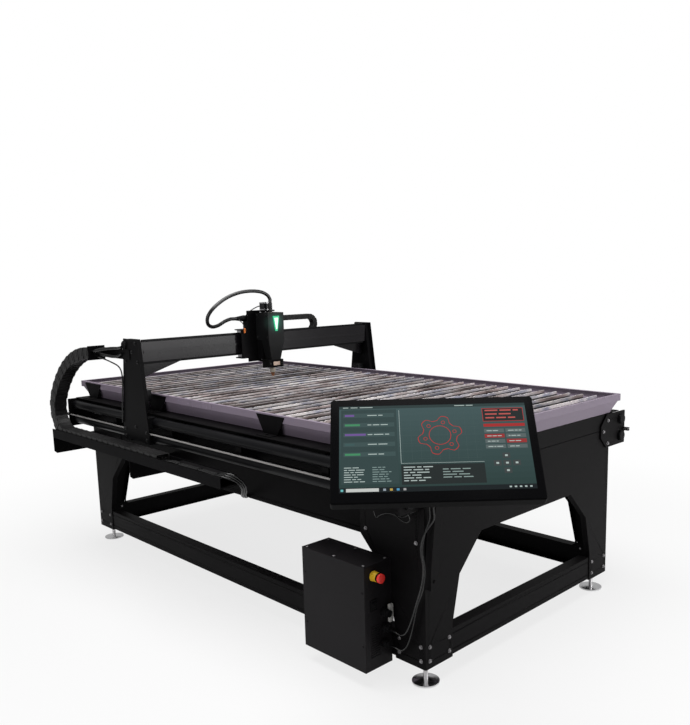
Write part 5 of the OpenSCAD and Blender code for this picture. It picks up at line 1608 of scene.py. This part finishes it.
@dataclass
class BeamChain(Assembly):
    """Small cable chain behind the beam, in three pieces.
    """

    x: float = -576.0
    start_y: float = 45.0
    far_y: float = 400.0
    root_y: float = -50.0
    low_z: float = 1180.0
    bend: float = 44.0
    width: float = 40.0
    height: float = 30.0
    pitch: float = 22.0
    wall: float = 4.0
    narrow: float = 0.92
    beyond: float = 50000.0

    def build(self) -> None:
        """Sets the links along the two runs and the turn between them."""
        top, back = self.far_y - self.start_y, self.far_y - self.root_y
        turn_len = math.pi * self.bend
        parts = ((top, 0), (turn_len, -self.bend), (back, 0))
        path = ChainPath((self.start_y, self.low_z + 2 * self.bend), 0.0, parts)
        s, frames, pitch = chain_frames(path, self.pitch, Axis.Y, self.x, self.narrow)
        link = chain_link(pitch, self.height, self.width, self.wall)
        metres = self.shop.maker.metres
        mirrored = 2 * self.far_y
        spans = {
            "upper": (s < top, (0, mirrored - self.start_y, 0), (0, self.start_y, 0)),
            "turn": (
                (s >= top) & (s < top + turn_len),
                (-self.beyond + 2 * self.x, self.far_y, 0), (self.beyond, self.far_y, 0),
            ),
            "lower": (s >= top + turn_len, (0, self.root_y, 0), (0, mirrored - self.root_y, 0)),
        }
        for name, (chosen, a, b) in spans.items():
            obj = self.shop.maker.piece(
                f"beam_chain_{name}", copies(link, frames[chosen]), CHAIN_PLASTIC, None, 30,
                replaces=["beam_chain"] if name == "lower" else (), slot="chain_plastic",
            )
            a, b = (metres(np.array(p, float)) for p in (a, b))
            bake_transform(obj)


@dataclass
class ControlBox(Assembly):
    """Control box with its cover, stop button, plugs and switch."""

    right: float = 1115.0
    top: float = 465.0
    stop: tuple[float, float] = (-739.0, 422.5)
    head_r: float = 17.6
    head_h: float = 13.0
    plug_y: float = -693.0
    plug_zs: tuple[float, ...] = (270.6, 209.9, 149.1)
    louvre: tuple[float, float, float] = (3.0, 46.0, 3.4)
    louvres: int = 14
    louvre_low: tuple[float, float] = (-735.0, 110.0)
    louvre_step: float = 9.0
    connector: tuple[float, float, float] = (13.0, 21.0, 70.0)
    connector_at: tuple[float, float, float] = (1128.0, -666.0, 262.0)
    lid_screw_xs: tuple[float, ...] = (786.0, 942.0, 1099.0)
    lid_screw_ys: tuple[float, ...] = (-772.0, -662.0)

    def stop_button(self) -> tuple[Shape, Shape]:
        """Yellow collar ring, and the red mushroom: a stem through the collar under a shallow dome.

        Returns:
            Collar and mushroom.
        """
        inner, flange, neck = 17.05, 19.4, 17.5
        rim = [(flange, 0.2), (flange, 4), (17.8, 6), (neck, 25), (17.2, 25.8)]
        collar = lathe([(inner, 0.2), *rim, (inner, 25.8), (inner, 0.2)], 40)
        low, high = (1000 * v.x - self.shop.maker.origin[0] - self.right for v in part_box("estop_button"))
        under, r = high - self.head_h, self.head_r
        angle = np.linspace(0, math.pi / 2, 9)
        dome = [(r - 3 + 3 * math.cos(a), high - 4 + 3 * math.sin(a)) for a in angle]
        stem = [(0, low), (7.6, low), (7.6, under), (r - 1, under), (r, under + 1)]
        cap = lathe([*stem, *dome, (r * 0.5, high - 0.3), (0, high)], 40)
        place = (self.right, *self.stop)
        return turn(collar, Axis.X, place, False), turn(cap, Axis.X, place, False)

    def plug_rings(self) -> Shape:
        """Coupling rings of the cable plugs."""
        ring = lathe([(11, 9), (14.6, 9), (15.4, 10), (15.4, 21), (14.6, 22), (11, 22)], 28)
        return join(*(turn(ring, Axis.X, (self.right, self.plug_y, z), False) for z in self.plug_zs))

    def vents(self) -> Shape:
        """A column of narrow raised louvres on the box's end.

        Returns:
            All the louvres.
        """
        y, low = self.louvre_low
        rows = (low + self.louvre_step * k for k in range(self.louvres))
        return join(*(block(self.louvre, (self.right + 1.0, y, z), 1.0, 1.2) for z in rows))

    def build(self) -> None:
        """Makes the button, rings, louvres, a pale connector and the lid's screws."""
        m = self.shop.maker
        collar, cap = self.stop_button()
        m.piece("stop_collar", collar, YELLOW, Body.STAND)
        m.piece("stop_mushroom", cap, RED, Body.ESTOP, 40, replaces=["estop_button"], slot="stop_red")
        m.piece("plug_rings", self.plug_rings(), PLASTIC, Body.STAND)
        m.piece("end_louvres", self.vents(), BOX_GREY, Body.STAND)
        m.piece("pale_connector", block(self.connector, self.connector_at, 2.5, 4.0), PALE, Body.STAND)
        places = [(x, y, self.top) for x in self.lid_screw_xs for y in self.lid_screw_ys]
        m.piece("box_top_screws", at_points(cap_screw(4.2, 2.4), places), BOLT, Body.STAND)

    def dress(self) -> None:
        """Paints the box and dresses what is in and on it."""
        d = self.shop.dresser
        d.dress(BOX_GREY, "box_shell", "box_cover", edge=0.8)
        d.dress(PLASTIC, "box_fittings", edge=0.6)
        d.dress(PLASTIC, "power_switch", "fan_rotor", edge=0.4)
        d.dress(BLUE_CASE, "box_electronics", edge=0.6)


@dataclass
class Canvas:
    """Flat picture for the display: quads with a colour each, drawn on numbered layers."""

    width: float
    height: float
    step: float = 0.12
    layer: int = 0
    quads: list[tuple[Array, Colour, int]] = field(default_factory=list)

    def rect(self, x: float, y: float, w: float, h: float, colour: Colour) -> None:
        """Adds a rectangle whose lower left corner and size are shares of the display."""
        corners = np.array([(x, y), (x + w, y), (x + w, y + h), (x, y + h)]) * (self.width, self.height)
        self.quads.append((corners - (self.width / 2, self.height / 2), colour, self.layer))

    def frame(self, x: float, y: float, w: float, h: float, t: float, colour: Colour) -> None:
        """Adds the outline of a rectangle.

        Args:
            x: left edge.
            y: lower edge.
            w: width.
            h: height.
            t: thickness of the lines, as a share of the width.
            colour: the lines' colour.
        """
        tall = t * self.width / self.height
        self.rect(x, y, w, tall, colour)
        self.rect(x, y + h - tall, w, tall, colour)
        self.rect(x, y, t, h, colour)
        self.rect(x + w - t, y, t, h, colour)

    def dashes(
        self, x: float, y: float, w: float, rows: int, step: float, h: float, colour: Colour, seed: int
    ) -> None:
        """Adds rows of short bars, as lines of unreadable writing.

        Args:
            x: left end.
            y: height of the top row.
            w: longest row.
            rows: number of rows.
            step: drop from row to row.
            h: height of a bar.
            colour: the bars' colour.
            seed: picks the lengths.
        """
        rng = np.random.default_rng(seed)
        for k in range(rows):
            at = x
            for length in rng.uniform(0.12, 0.4, 3) * w:
                if at + length > x + w:
                    break
                self.rect(at, y - k * step, length, h, colour)
                at += length + 0.06 * w

    def loop(self, centre: tuple[float, float], radii: Array, t: float, colour: Colour) -> None:
        """Adds a closed line round a centre, whose radius is given for evenly spaced angles.

        Args:
            centre: middle of the loop, in shares.
            radii: radius at each angle, as a share of the height.
            t: thickness of the line, as a share of the height.
            colour: the line's colour.
        """
        angle = np.linspace(0, 2 * math.pi, len(radii), endpoint=False)
        way = np.column_stack([np.cos(angle), np.sin(angle)])
        middle = (np.array(centre) - 0.5) * (self.width, self.height)
        inner, outer = (middle + way * ((radii + d) * self.height)[:, None] for d in (-t / 2, t / 2))
        corners = np.stack([inner, outer, np.roll(outer, -1, 0), np.roll(inner, -1, 0)], 1)
        self.quads.extend((q, colour, self.layer) for q in corners)

    def shape(self) -> tuple[Shape, Array]:
        """Puts all quads into one shape, each on its layer's height.

        Returns:
            The shape, and the faces' colours.
        """
        corners = np.stack([q for q, _, _ in self.quads])
        lift = np.array([n for _, _, n in self.quads]) * self.step
        points = np.concatenate([corners, np.broadcast_to(lift[:, None, None], (len(corners), 4, 1))], axis=2)
        faces = np.arange(4 * len(corners)).reshape(-1, 4)
        colours = np.array([colour for _, colour, _ in self.quads])
        return (points.reshape(-1, 3), [tuple(f) for f in faces.tolist()]), colours


@dataclass
class Monitor(Assembly):
    """Touch monitor on its post and arm: glass front, lit picture, ribs and hinge ears behind."""

    tilt_at: tuple[float, float, float] = (1550.83, -897.95, 956.3)
    yaw: float = math.radians(46)
    tilt: float = math.radians(43)
    width: float = 610.0
    height: float = 350.0
    back: float = 20.0
    front: float = 56.0
    bezel: float = 26.0
    chin: float = 8.0
    glass_t: float = 2.4
    bulge: tuple[float, float] = (300.0, 180.0)
    rib: tuple[float, float, float] = (52.0, 3.0, 2.4)
    rib_x: float = 220.0
    rib_reach: int = 60
    rib_step: int = 12
    ear_r: float = 12.0
    ear_t: float = 10.0
    ear_xs: tuple[float, float] = (-40.3, 30.3)

    def place(self, shape: Shape) -> Shape:
        """Moves a shape from the monitor's own frame, with X to the right, Y up the glass and Z out of it.

        Args:
            shape: points in the monitor's own frame.

        Returns:
            The shape in the stand's frame.
        """
        right = np.array([math.cos(self.yaw), math.sin(self.yaw), 0])
        out = np.array([math.sin(self.yaw), -math.cos(self.yaw), 0])
        rise = np.array([0, 0, 1.0])
        facing = out * math.cos(self.tilt) + rise * math.sin(self.tilt)
        up = rise * math.cos(self.tilt) - out * math.sin(self.tilt)
        return shape[0] @ np.stack([right, up, facing]) + np.array(self.tilt_at), shape[1]

    def case(self) -> Shape:
        """Rounded case, a raised back with cooling ribs beside it, and the two hinge ears.

        Returns:
            The case in the monitor's own frame.
        """
        body = slab(rounded_rect(self.width, self.height, 9, 6), self.front - self.back - 2.2, 2.5)
        shapes = [(body[0] + [0, 0, self.back], body[1])]
        bulge = slab(rounded_rect(*self.bulge, 14, 6), 8, 4)
        shapes.append((bulge[0] + [0, 0, self.back - 7], bulge[1]))
        rows = range(-self.rib_reach, self.rib_reach + 1, self.rib_step)
        places = [(side * self.rib_x, y, self.back - 0.6) for side in (-1, 1) for y in rows]
        shapes.append(at_points(block(self.rib, (0, 0, 0), 0.6), places))
        r, t, deep = self.ear_r, self.ear_t, self.back + 3
        ear = lathe([(r, 0), (r, t - 0.4), (r - 1, t)], 28)
        for x in self.ear_xs:
            shapes.append(turn(ear, Axis.X, (x, 0, 0)))
            shapes.append(block((t, 2 * r, deep), (x + t / 2, 0, deep / 2), 0.8))
        return join(*shapes)

    def glass(self) -> Shape:
        """Thin glass over the whole front."""
        pane = slab(rounded_rect(self.width - 5, self.height - 5, 7, 6), self.glass_t, 0.7)
        return pane[0] + [0, 0, self.front - self.glass_t - 0.2], pane[1]

    def picture(self) -> tuple[Shape, Array]:
        """A made-up control page: lists, a plot with a flange outline, a log, buttons and a task bar.

        Returns:
            The faces in the monitor's own frame, and their colours.
        """
        c = Canvas(self.width - 2 * self.bezel, self.height - 2 * self.bezel - self.chin)
        teal, dim, panel = (0.055, 0.095, 0.098), (0.026, 0.05, 0.047), (0.02, 0.026, 0.026)
        pale, red, grey = (0.42, 0.5, 0.48), (0.5, 0.03, 0.03), (0.1, 0.13, 0.13)
        for k in range(16):
            share = k / 15
            c.rect(0, k / 16, 1, 1 / 16, tuple(a + (b - a) * share for a, b in zip(dim, teal)))
        c.layer = 1
        c.rect(0, 0.965, 1, 0.035, (0.03, 0.05, 0.05))
        c.rect(0.01, 0.09, 0.295, 0.865, (0.036, 0.062, 0.062))
        c.rect(0.318, 0.075, 0.43, 0.22, panel)
        c.rect(0.765, 0.78, 0.22, 0.16, panel)
        c.rect(0, 0, 1, 0.052, (0.012, 0.016, 0.018))
        for k in range(9):
            c.rect(0.33 + 0.048 * k, 0.34, 0.0008, 0.58, (0.065, 0.1, 0.1))
        c.layer = 2
        for k in range(7):
            c.rect(0.32, 0.36 + 0.09 * k, 0.42, 0.0016, (0.065, 0.1, 0.1))
        c.dashes(0.02, 0.978, 0.2, 1, 0.1, 0.009, pale, 3)
        c.dashes(0.62, 0.978, 0.14, 1, 0.1, 0.009, pale, 4)
        violet, green = (0.16, 0.09, 0.3), (0.06, 0.25, 0.12)
        for k, tone in enumerate((violet, green, violet, (0.05, 0.1, 0.1), green)):
            y = 0.86 - 0.115 * k
            c.layer = 2
            c.rect(0.022, y, 0.27, 0.05, (0.05, 0.085, 0.085))
            c.layer = 3
            c.rect(0.03, y + 0.013, 0.05 + 0.03 * (k % 3), 0.024, tone)
            c.dashes(0.15, y + 0.02, 0.13, 1, 0.1, 0.01, pale, 10 + k)
        c.dashes(0.025, 0.27, 0.11, 7, 0.026, 0.009, pale, 21)
        c.dashes(0.17, 0.27, 0.1, 7, 0.026, 0.009, (0.22, 0.3, 0.29), 22)
        c.rect(0.318, 0.31, 0.0022, 0.63, pale)
        c.rect(0.318, 0.31, 0.43, 0.0035, pale)
        angle = np.linspace(0, 2 * math.pi, 60, endpoint=False)
        middle = (0.53, 0.63)
        lobe = np.sin(6 * angle)
        c.loop(middle, 0.2 + 0.028 * np.sign(lobe) * np.abs(lobe) ** 0.3, 0.007, red)
        c.loop(middle, np.full(40, 0.11), 0.006, red)
        for k in range(6):
            a = math.pi * k / 3 + 0.26
            hole = (middle[0] + 0.155 * math.cos(a) * c.height / c.width, middle[1] + 0.155 * math.sin(a))
            c.loop(hole, np.full(18, 0.018), 0.005, red)
        c.dashes(0.33, 0.262, 0.16, 6, 0.03, 0.011, pale, 31)
        c.dashes(0.53, 0.232, 0.18, 4, 0.03, 0.011, (0.25, 0.33, 0.31), 32)
        c.frame(0.765, 0.78, 0.22, 0.16, 0.0025, red)
        c.dashes(0.78, 0.905, 0.18, 3, 0.045, 0.016, (0.5, 0.1, 0.09), 41)
        c.rect(0.765, 0.715, 0.22, 0.036, (0.36, 0.03, 0.03))
        for k in range(8):
            tone = (0.3, 0.035, 0.035) if k in (2, 5) else grey
            c.layer = 2
            c.rect(0.765 + 0.113 * (k % 2), 0.645 - 0.062 * (k // 2), 0.105, 0.045, tone)
            c.layer = 3
            c.dashes(0.778 + 0.113 * (k % 2), 0.662 - 0.062 * (k // 2), 0.08, 1, 0.1, 0.009, pale, 50 + k)
        for dx, dy in ((0, 0.085), (0, -0.085), (-0.05, 0), (0.05, 0), (0, 0)):
            c.layer = 2
            c.rect(0.845 + dx, 0.26 + dy, 0.04, 0.062, (0.05, 0.06, 0.06))
            c.layer = 3
            c.rect(0.858 + dx, 0.281 + dy, 0.014, 0.02, pale)
        c.rect(0.035, 0.008, 0.165, 0.036, (0.55, 0.57, 0.55))
        c.rect(0.008, 0.014, 0.013, 0.024, (0.15, 0.5, 0.5))
        for k, tone in enumerate(((0.3, 0.35, 0.4), (0.5, 0.35, 0.08), (0.08, 0.3, 0.5), (0.35, 0.35, 0.35))):
            c.rect(0.222 + 0.034 * k, 0.014, 0.014, 0.024, tone)
        for k in range(5):
            c.rect(0.86 + 0.026 * k, 0.018, 0.012, 0.016, pale)
        shape, colours = c.shape()
        return (shape[0] + [0, self.chin / 2, self.front - 0.15], shape[1]), colours

    def build(self) -> None:
        """Makes case, glass and picture, and keeps each face's colour in an attribute."""
        m = self.shop.maker
        m.piece(
            "monitor_shell", self.place(self.case()), CASE_BLACK, Body.MONITOR,
            replaces=["monitor_case"], slot="dark_plastic",
        )
        m.piece("monitor_glass", self.place(self.glass()), GLASS_BLACK, Body.MONITOR, slot="dark_plastic")
        shape, colours = self.picture()
        lit = m.piece(
            "display_picture", self.place(shape), DISPLAY, Body.MONITOR, None,
            replaces=["monitor_screen"], slot="screen",
        )
        layer = lit.data.attributes.new("face_colour", "FLOAT_COLOR", "FACE")
        rgba = np.column_stack([colours, np.ones(len(colours))]).astype(np.float32)
        layer.data.foreach_set("color", rgba.ravel())

    def dress(self) -> None:
        """Dresses the CAD pieces of the post."""
        self.shop.dresser.dress(FRAME_BLACK, "monitor_post", "monitor_bracket", edge=1.0)


@dataclass
class Cables(Assembly):
    """Cables from the tray to the control box, from the box up to the monitor, and slack below it.

    A row of tray_route is a point of the middle cable, and the step from there to the cable beside it.
    """

    radius: float = 3.1
    tray_radius: float = 4.2
    slack_radius: float = 2.6
    plug_routes: tuple[Route, ...] = (
        (
            (1149, -693, 209.8), (1163, -693, 209.8), (1177, -693, 209.8), (1199, -691, 205),
            (1221, -689, 216), (1237, -684, 246), (1253, -680, 292), (1271, -680, 345), (1297, -680, 420),
            (1305, -680, 484), (1295, -680, 550), (1309, -673, 608), (1335.2, -656, 658),
            (1335.2, -656, 692), (1335.2, -656, 726),
        ),
        (
            (1149, -693, 149.1), (1163, -693, 149.1), (1177, -693, 149.1), (1199, -688, 144),
            (1217, -678, 160), (1231, -671, 200), (1246, -667, 262), (1262, -667, 325), (1291, -667, 400),
            (1301, -667, 470), (1291, -667, 540), (1301, -664, 602), (1318.2, -656, 658),
            (1318.2, -656, 692), (1318.2, -656, 726),
        ),
    )
    tray_route: Route = (
        (-154.6, -841, 673.3, 0, 9, 0), (-138.7, -841, 673.3, 0, 9, 0), (-120, -842, 675, 0, 9, 0),
        (-80, -847, 684, 0, 9, 0), (-34, -854, 689.4, 0, 9, 0), (60, -862, 689.4, 0, 9, 0),
        (180, -858, 689.4, 0, 9, 0), (290, -862, 689.4, 0, 9, 0), (340, -862, 691, 0, 8, 4),
        (372, -858, 694, 1, 6, 7), (397, -844, 690, 3, 3, 8.5), (408, -820, 674, 5, 3, 7.5),
        (396, -792, 650, 6.1, 5, 5), (364, -760, 622, 6.3, 6.3, 2), (320, -728, 592, 6.3, 6.3, 0),
        (272, -698, 564, 6.3, 6.3, 0), (224, -667, 539, 7.2, 5.4, 0), (196, -641, 521, 8, 4.2, 0),
        (179, -612, 522, 8.9, 1.5, 0), (182, -583, 533, 8.5, -3, 0), (212, -563, 546, 4.8, -7.6, 0),
        (270, -562, 554, 0, -9, 0), (370, -578, 556, 0, -9, 0), (590, -594, 556, 0, -9, 0),
        (850, -594, 552, 2, -9, 0), (950, -596, 530, 6, -8.4, 0), (1012, -600, 484, 8.4, -8.4, 0),
        (1024, -606, 420, 8.4, -8.4, 0), (990, -611, 352, 7, -8.4, 0), (905, -615, 315, 3, -9, 0),
        (815, -617, 301, 0, -9, 0), (756, -618, 299, 0, -9, 0), (722, -630, 299, 6.4, -6.4, 0),
        (709, -660, 299, 9, 0, 0), (721, -690, 299, 6.4, 6.4, 0), (748, -702, 299, 0, 9, 0),
    )
    tie_at: tuple[float, ...] = (30.0, 188.0, 330.0)
    tie_half: tuple[float, float] = (15.2, 6.6)
    tie_r: float = 1.5
    bed: tuple[float, float, float] = (412.0, 75.8, 2.0)
    bed_at: tuple[float, float, float] = (166.0, -841.0, 684.1)
    bed_points: int = 80
    slack_routes: tuple[Route, ...] = (
        (
            (1051, -665, 635), (1066, -668, 615), (1098, -672, 633), (1134, -668, 644), (1174, -665, 640),
            (1208, -668, 645), (1242, -666, 668), (1280, -664, 688),
        ),
        (
            (1164, -674, 650), (1193, -678, 638), (1227, -680, 632), (1242, -676, 644), (1228, -672, 663),
            (1199, -670, 676),
        ),
    )

    def build(self) -> None:
        """Makes each cable as a round sheath along its route."""
        m = self.shop.maker
        for k, route in enumerate(self.plug_routes):
            m.cord(
                f"monitor_cable_{k + 1}", smooth_path(route, 8), self.radius, Body.STAND,
                replaces=["signal_cables"] if k == 0 else (),
            )
        middle = smooth_path(self.tray_route, 8)
        for k in (-1, 0, 1):
            m.cord(f"tray_cable_{k + 2}", middle[:, :3] + k * middle[:, 3:], self.tray_radius, Body.STAND)
        self.tray_bed(middle)
        for k, route in enumerate(self.slack_routes):
            m.cord(f"slack_cable_{k + 1}", smooth_path(route, 8), self.slack_radius, Body.STAND)

    def tray_bed(self, middle: Array) -> None:
        """Makes the strip that the cables lie on in the tray, and the ties round them, flat loops across X.

        Args:
            middle: the middle cable's line, whose first points, bed_points of them, run along the strip.
        """
        m = self.shop.maker
        m.piece("tray_bed", block(self.bed, self.bed_at, 0.4), TRAY_BLACK, Body.STAND)
        angle = np.linspace(0, 2 * math.pi, 33)
        wide, tall = self.tie_half
        lying = middle[: self.bed_points]
        loops = []
        for x in self.tie_at:
            _, y, z, *_ = lying[np.abs(lying[:, 0] - x).argmin()]
            loop = np.stack([np.full_like(angle, x), y + wide * np.cos(angle), z + tall * np.sin(angle)], 1)
            loops.append(tube(loop, self.tie_r, 8))
        m.piece("tray_ties", join(*loops), PLASTIC, Body.STAND, 60)


@dataclass
class Studio:
    """Pale floor, soft lamps and the camera of the photograph."""

    origin: Array
    eye: tuple[float, float, float] = (3.0199, -2.5821, 1.4806)
    yaw: float = 0.7776
    pitch: float = 0.1591
    roll: float = -0.0190
    focal: float = 770.97
    centre: tuple[float, float] = (387.68, 402.48)
    frame: tuple[int, int] = (690, 725)
    lift: float = 0.78
    mirrored: float = 0.35
    ambient: float = 0.06
    floor: float = 30.0
    fade: tuple[float, float] = (1.2, 3.6)
    sensor: float = 36.0
    lamps: tuple[tuple[str, Colour, Colour, tuple[float, float], float], ...] = (
        ("key", (4.4, 2.0, 1.5), (-0.3, -0.2, 1.0), (2.6, 2.6), 88),
        ("top", (0.4, -0.6, 4.6), (0.2, 0.0, 0.8), (4.5, 3.0), 260),
        ("front", (1.2, -5.2, 2.4), (0.2, 0.0, 0.6), (3.4, 2.0), 66),
    )

    def camera(self) -> None:
        """Sets the camera from the solved view: yaw, pitch and roll, focal length and principal point."""
        cy, sy, cp, sp = math.cos(self.yaw), math.sin(self.yaw), math.cos(self.pitch), math.sin(self.pitch)
        forward = Vector((-sy * cp, cy * cp, -sp))
        right = Vector((cy, sy, 0))
        up = right.cross(forward)
        c, s = math.cos(self.roll), math.sin(self.roll)
        right, up = c * right + s * up, c * up - s * right
        data = bpy.data.cameras.new("photo view")
        data.sensor_fit = "AUTO"
        data.sensor_width = self.sensor
        longest = max(self.frame)
        data.lens = self.focal * self.sensor / longest
        data.shift_x = (self.frame[0] / 2 - self.centre[0]) / longest
        data.shift_y = (self.centre[1] - self.frame[1] / 2) / longest
        data.clip_end = 60
        cam = bpy.data.objects.new("photo view", data)
        bpy.context.scene.collection.objects.link(cam)
        turned = Matrix((right, up, -forward)).transposed().to_4x4()
        turned.translation = Vector(self.eye) + Vector(self.origin * 0.001)
        cam.matrix_world = turned
        bpy.context.scene.camera = cam

    def lamp(
        self, name: str, place: Sequence[float], aim: Sequence[float], size: tuple[float, float], watts: float
    ) -> None:
        """Hangs one soft lamp.

        Args:
            name: the lamp's name.
            place: where it hangs, in metres in the stand's frame.
            aim: the point that it faces.
            size: its width and height.
            watts: its power.
        """
        data = bpy.data.lights.new(name, "AREA")
        data.shape = "RECTANGLE"
        data.size, data.size_y = size
        data.energy = watts
        obj = bpy.data.objects.new(name, data)
        bpy.context.scene.collection.objects.link(obj)
        shift = Vector(self.origin * 0.001)
        obj.location = Vector(place) + shift
        obj.rotation_euler = (Vector(aim) - Vector(place)).to_track_quat("-Z", "Y").to_euler()

    def seen(self, w: Wiring) -> bpy.types.NodeSocket:
        """How white the surroundings are to a ray: fully to the camera, partly in a reflection.

        Args:
            w: wiring of a tree.

        Returns:
            A share from 0 to 1.
        """
        rays = w.add("LightPath")
        straight = w.math("MAXIMUM", rays.outputs["Is Camera Ray"], rays.outputs["Is Transmission Ray"])
        return w.math("MAXIMUM", straight, w.math("MULTIPLY", rays.outputs["Is Glossy Ray"], self.mirrored))

    def surroundings(self) -> None:
        """Makes the pale floor and a world that is white to the camera and soft to everything else."""
        mesh = bpy.data.meshes.new("studio_floor")
        size = self.floor
        corners = [(-size, -size, 0), (size, -size, 0), (size, size, 0), (-size, size, 0)]
        mesh.from_pydata(corners, [], [(0, 1, 2, 3)])
        floor = bpy.data.objects.new("studio_floor", mesh)
        bpy.context.scene.collection.objects.link(floor)
        mat = bpy.data.materials.new("pale floor")
        mat.use_nodes = True
        w = Wiring(mat.node_tree)
        shader = mat.node_tree.nodes["Principled BSDF"]
        shader.inputs["Base Color"].default_value = (0.72, 0.72, 0.72, 1)
        shader.inputs["Roughness"].default_value = 0.9
        shader.inputs["Specular IOR Level"].default_value = 0.0
        seen = self.seen(w)
        place = w.add("TexCoord").outputs["Object"]
        away = w.add("VectorMath", {0: place}, operation="LENGTH").outputs["Value"]
        fading = w.math("MULTIPLY", w.ramp(away, *self.fade), 1 - self.lift)
        far = w.math("MULTIPLY", w.math("ADD", self.lift, fading), seen)
        white = w.add("Emission", {"Color": (1.0, 1.0, 1.0), "Strength": 1.0})
        mixed = w.add("MixShader", {0: far, 1: shader.outputs[0], 2: white.outputs[0]})
        w.feed(mixed.outputs[0], mat.node_tree.nodes["Material Output"].inputs["Surface"])
        mesh.materials.append(mat)
        world = bpy.data.worlds.new("studio")
        world.use_nodes = True
        tree = world.node_tree
        tree.nodes.clear()
        w = Wiring(tree)
        strength = w.math("ADD", self.ambient, w.math("MULTIPLY", self.seen(w), 1 - self.ambient))
        back = w.add("Background", {"Color": (1.0, 1.0, 1.0), "Strength": strength})
        w.feed(back.outputs[0], w.add("OutputWorld").inputs[0])
        bpy.context.scene.world = world

    def build(self) -> None:
        """Sets up camera, lamps and surroundings."""
        self.camera()
        self.surroundings()
        for lamp in self.lamps:
            self.lamp(*lamp)
        bpy.context.scene.view_settings.view_transform = "Standard"


def main() -> None:
    """Loads the frame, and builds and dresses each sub-assembly."""
    logging.basicConfig(level=logging.INFO, format="%(message)s")
    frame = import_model()
    low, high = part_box("water_pan")
    middle = (low + high) / 2
    origin = np.array([middle.x, middle.y, 0.0]) * 1000
    shop = Workshop(MeshMaker(origin), Dresser(frame["nodes"]))
    Studio(origin).build()
    for kind in (
        Stand, Bed, Rails, Gantry, Carriage, GantryChain, BeamChain, ControlBox, Monitor, Cables
    ):
        assembly = kind(shop)
        assembly.build()
        assembly.dress()
        log.info("%s done", kind.__name__)


if __name__ == "__main__":
    main()
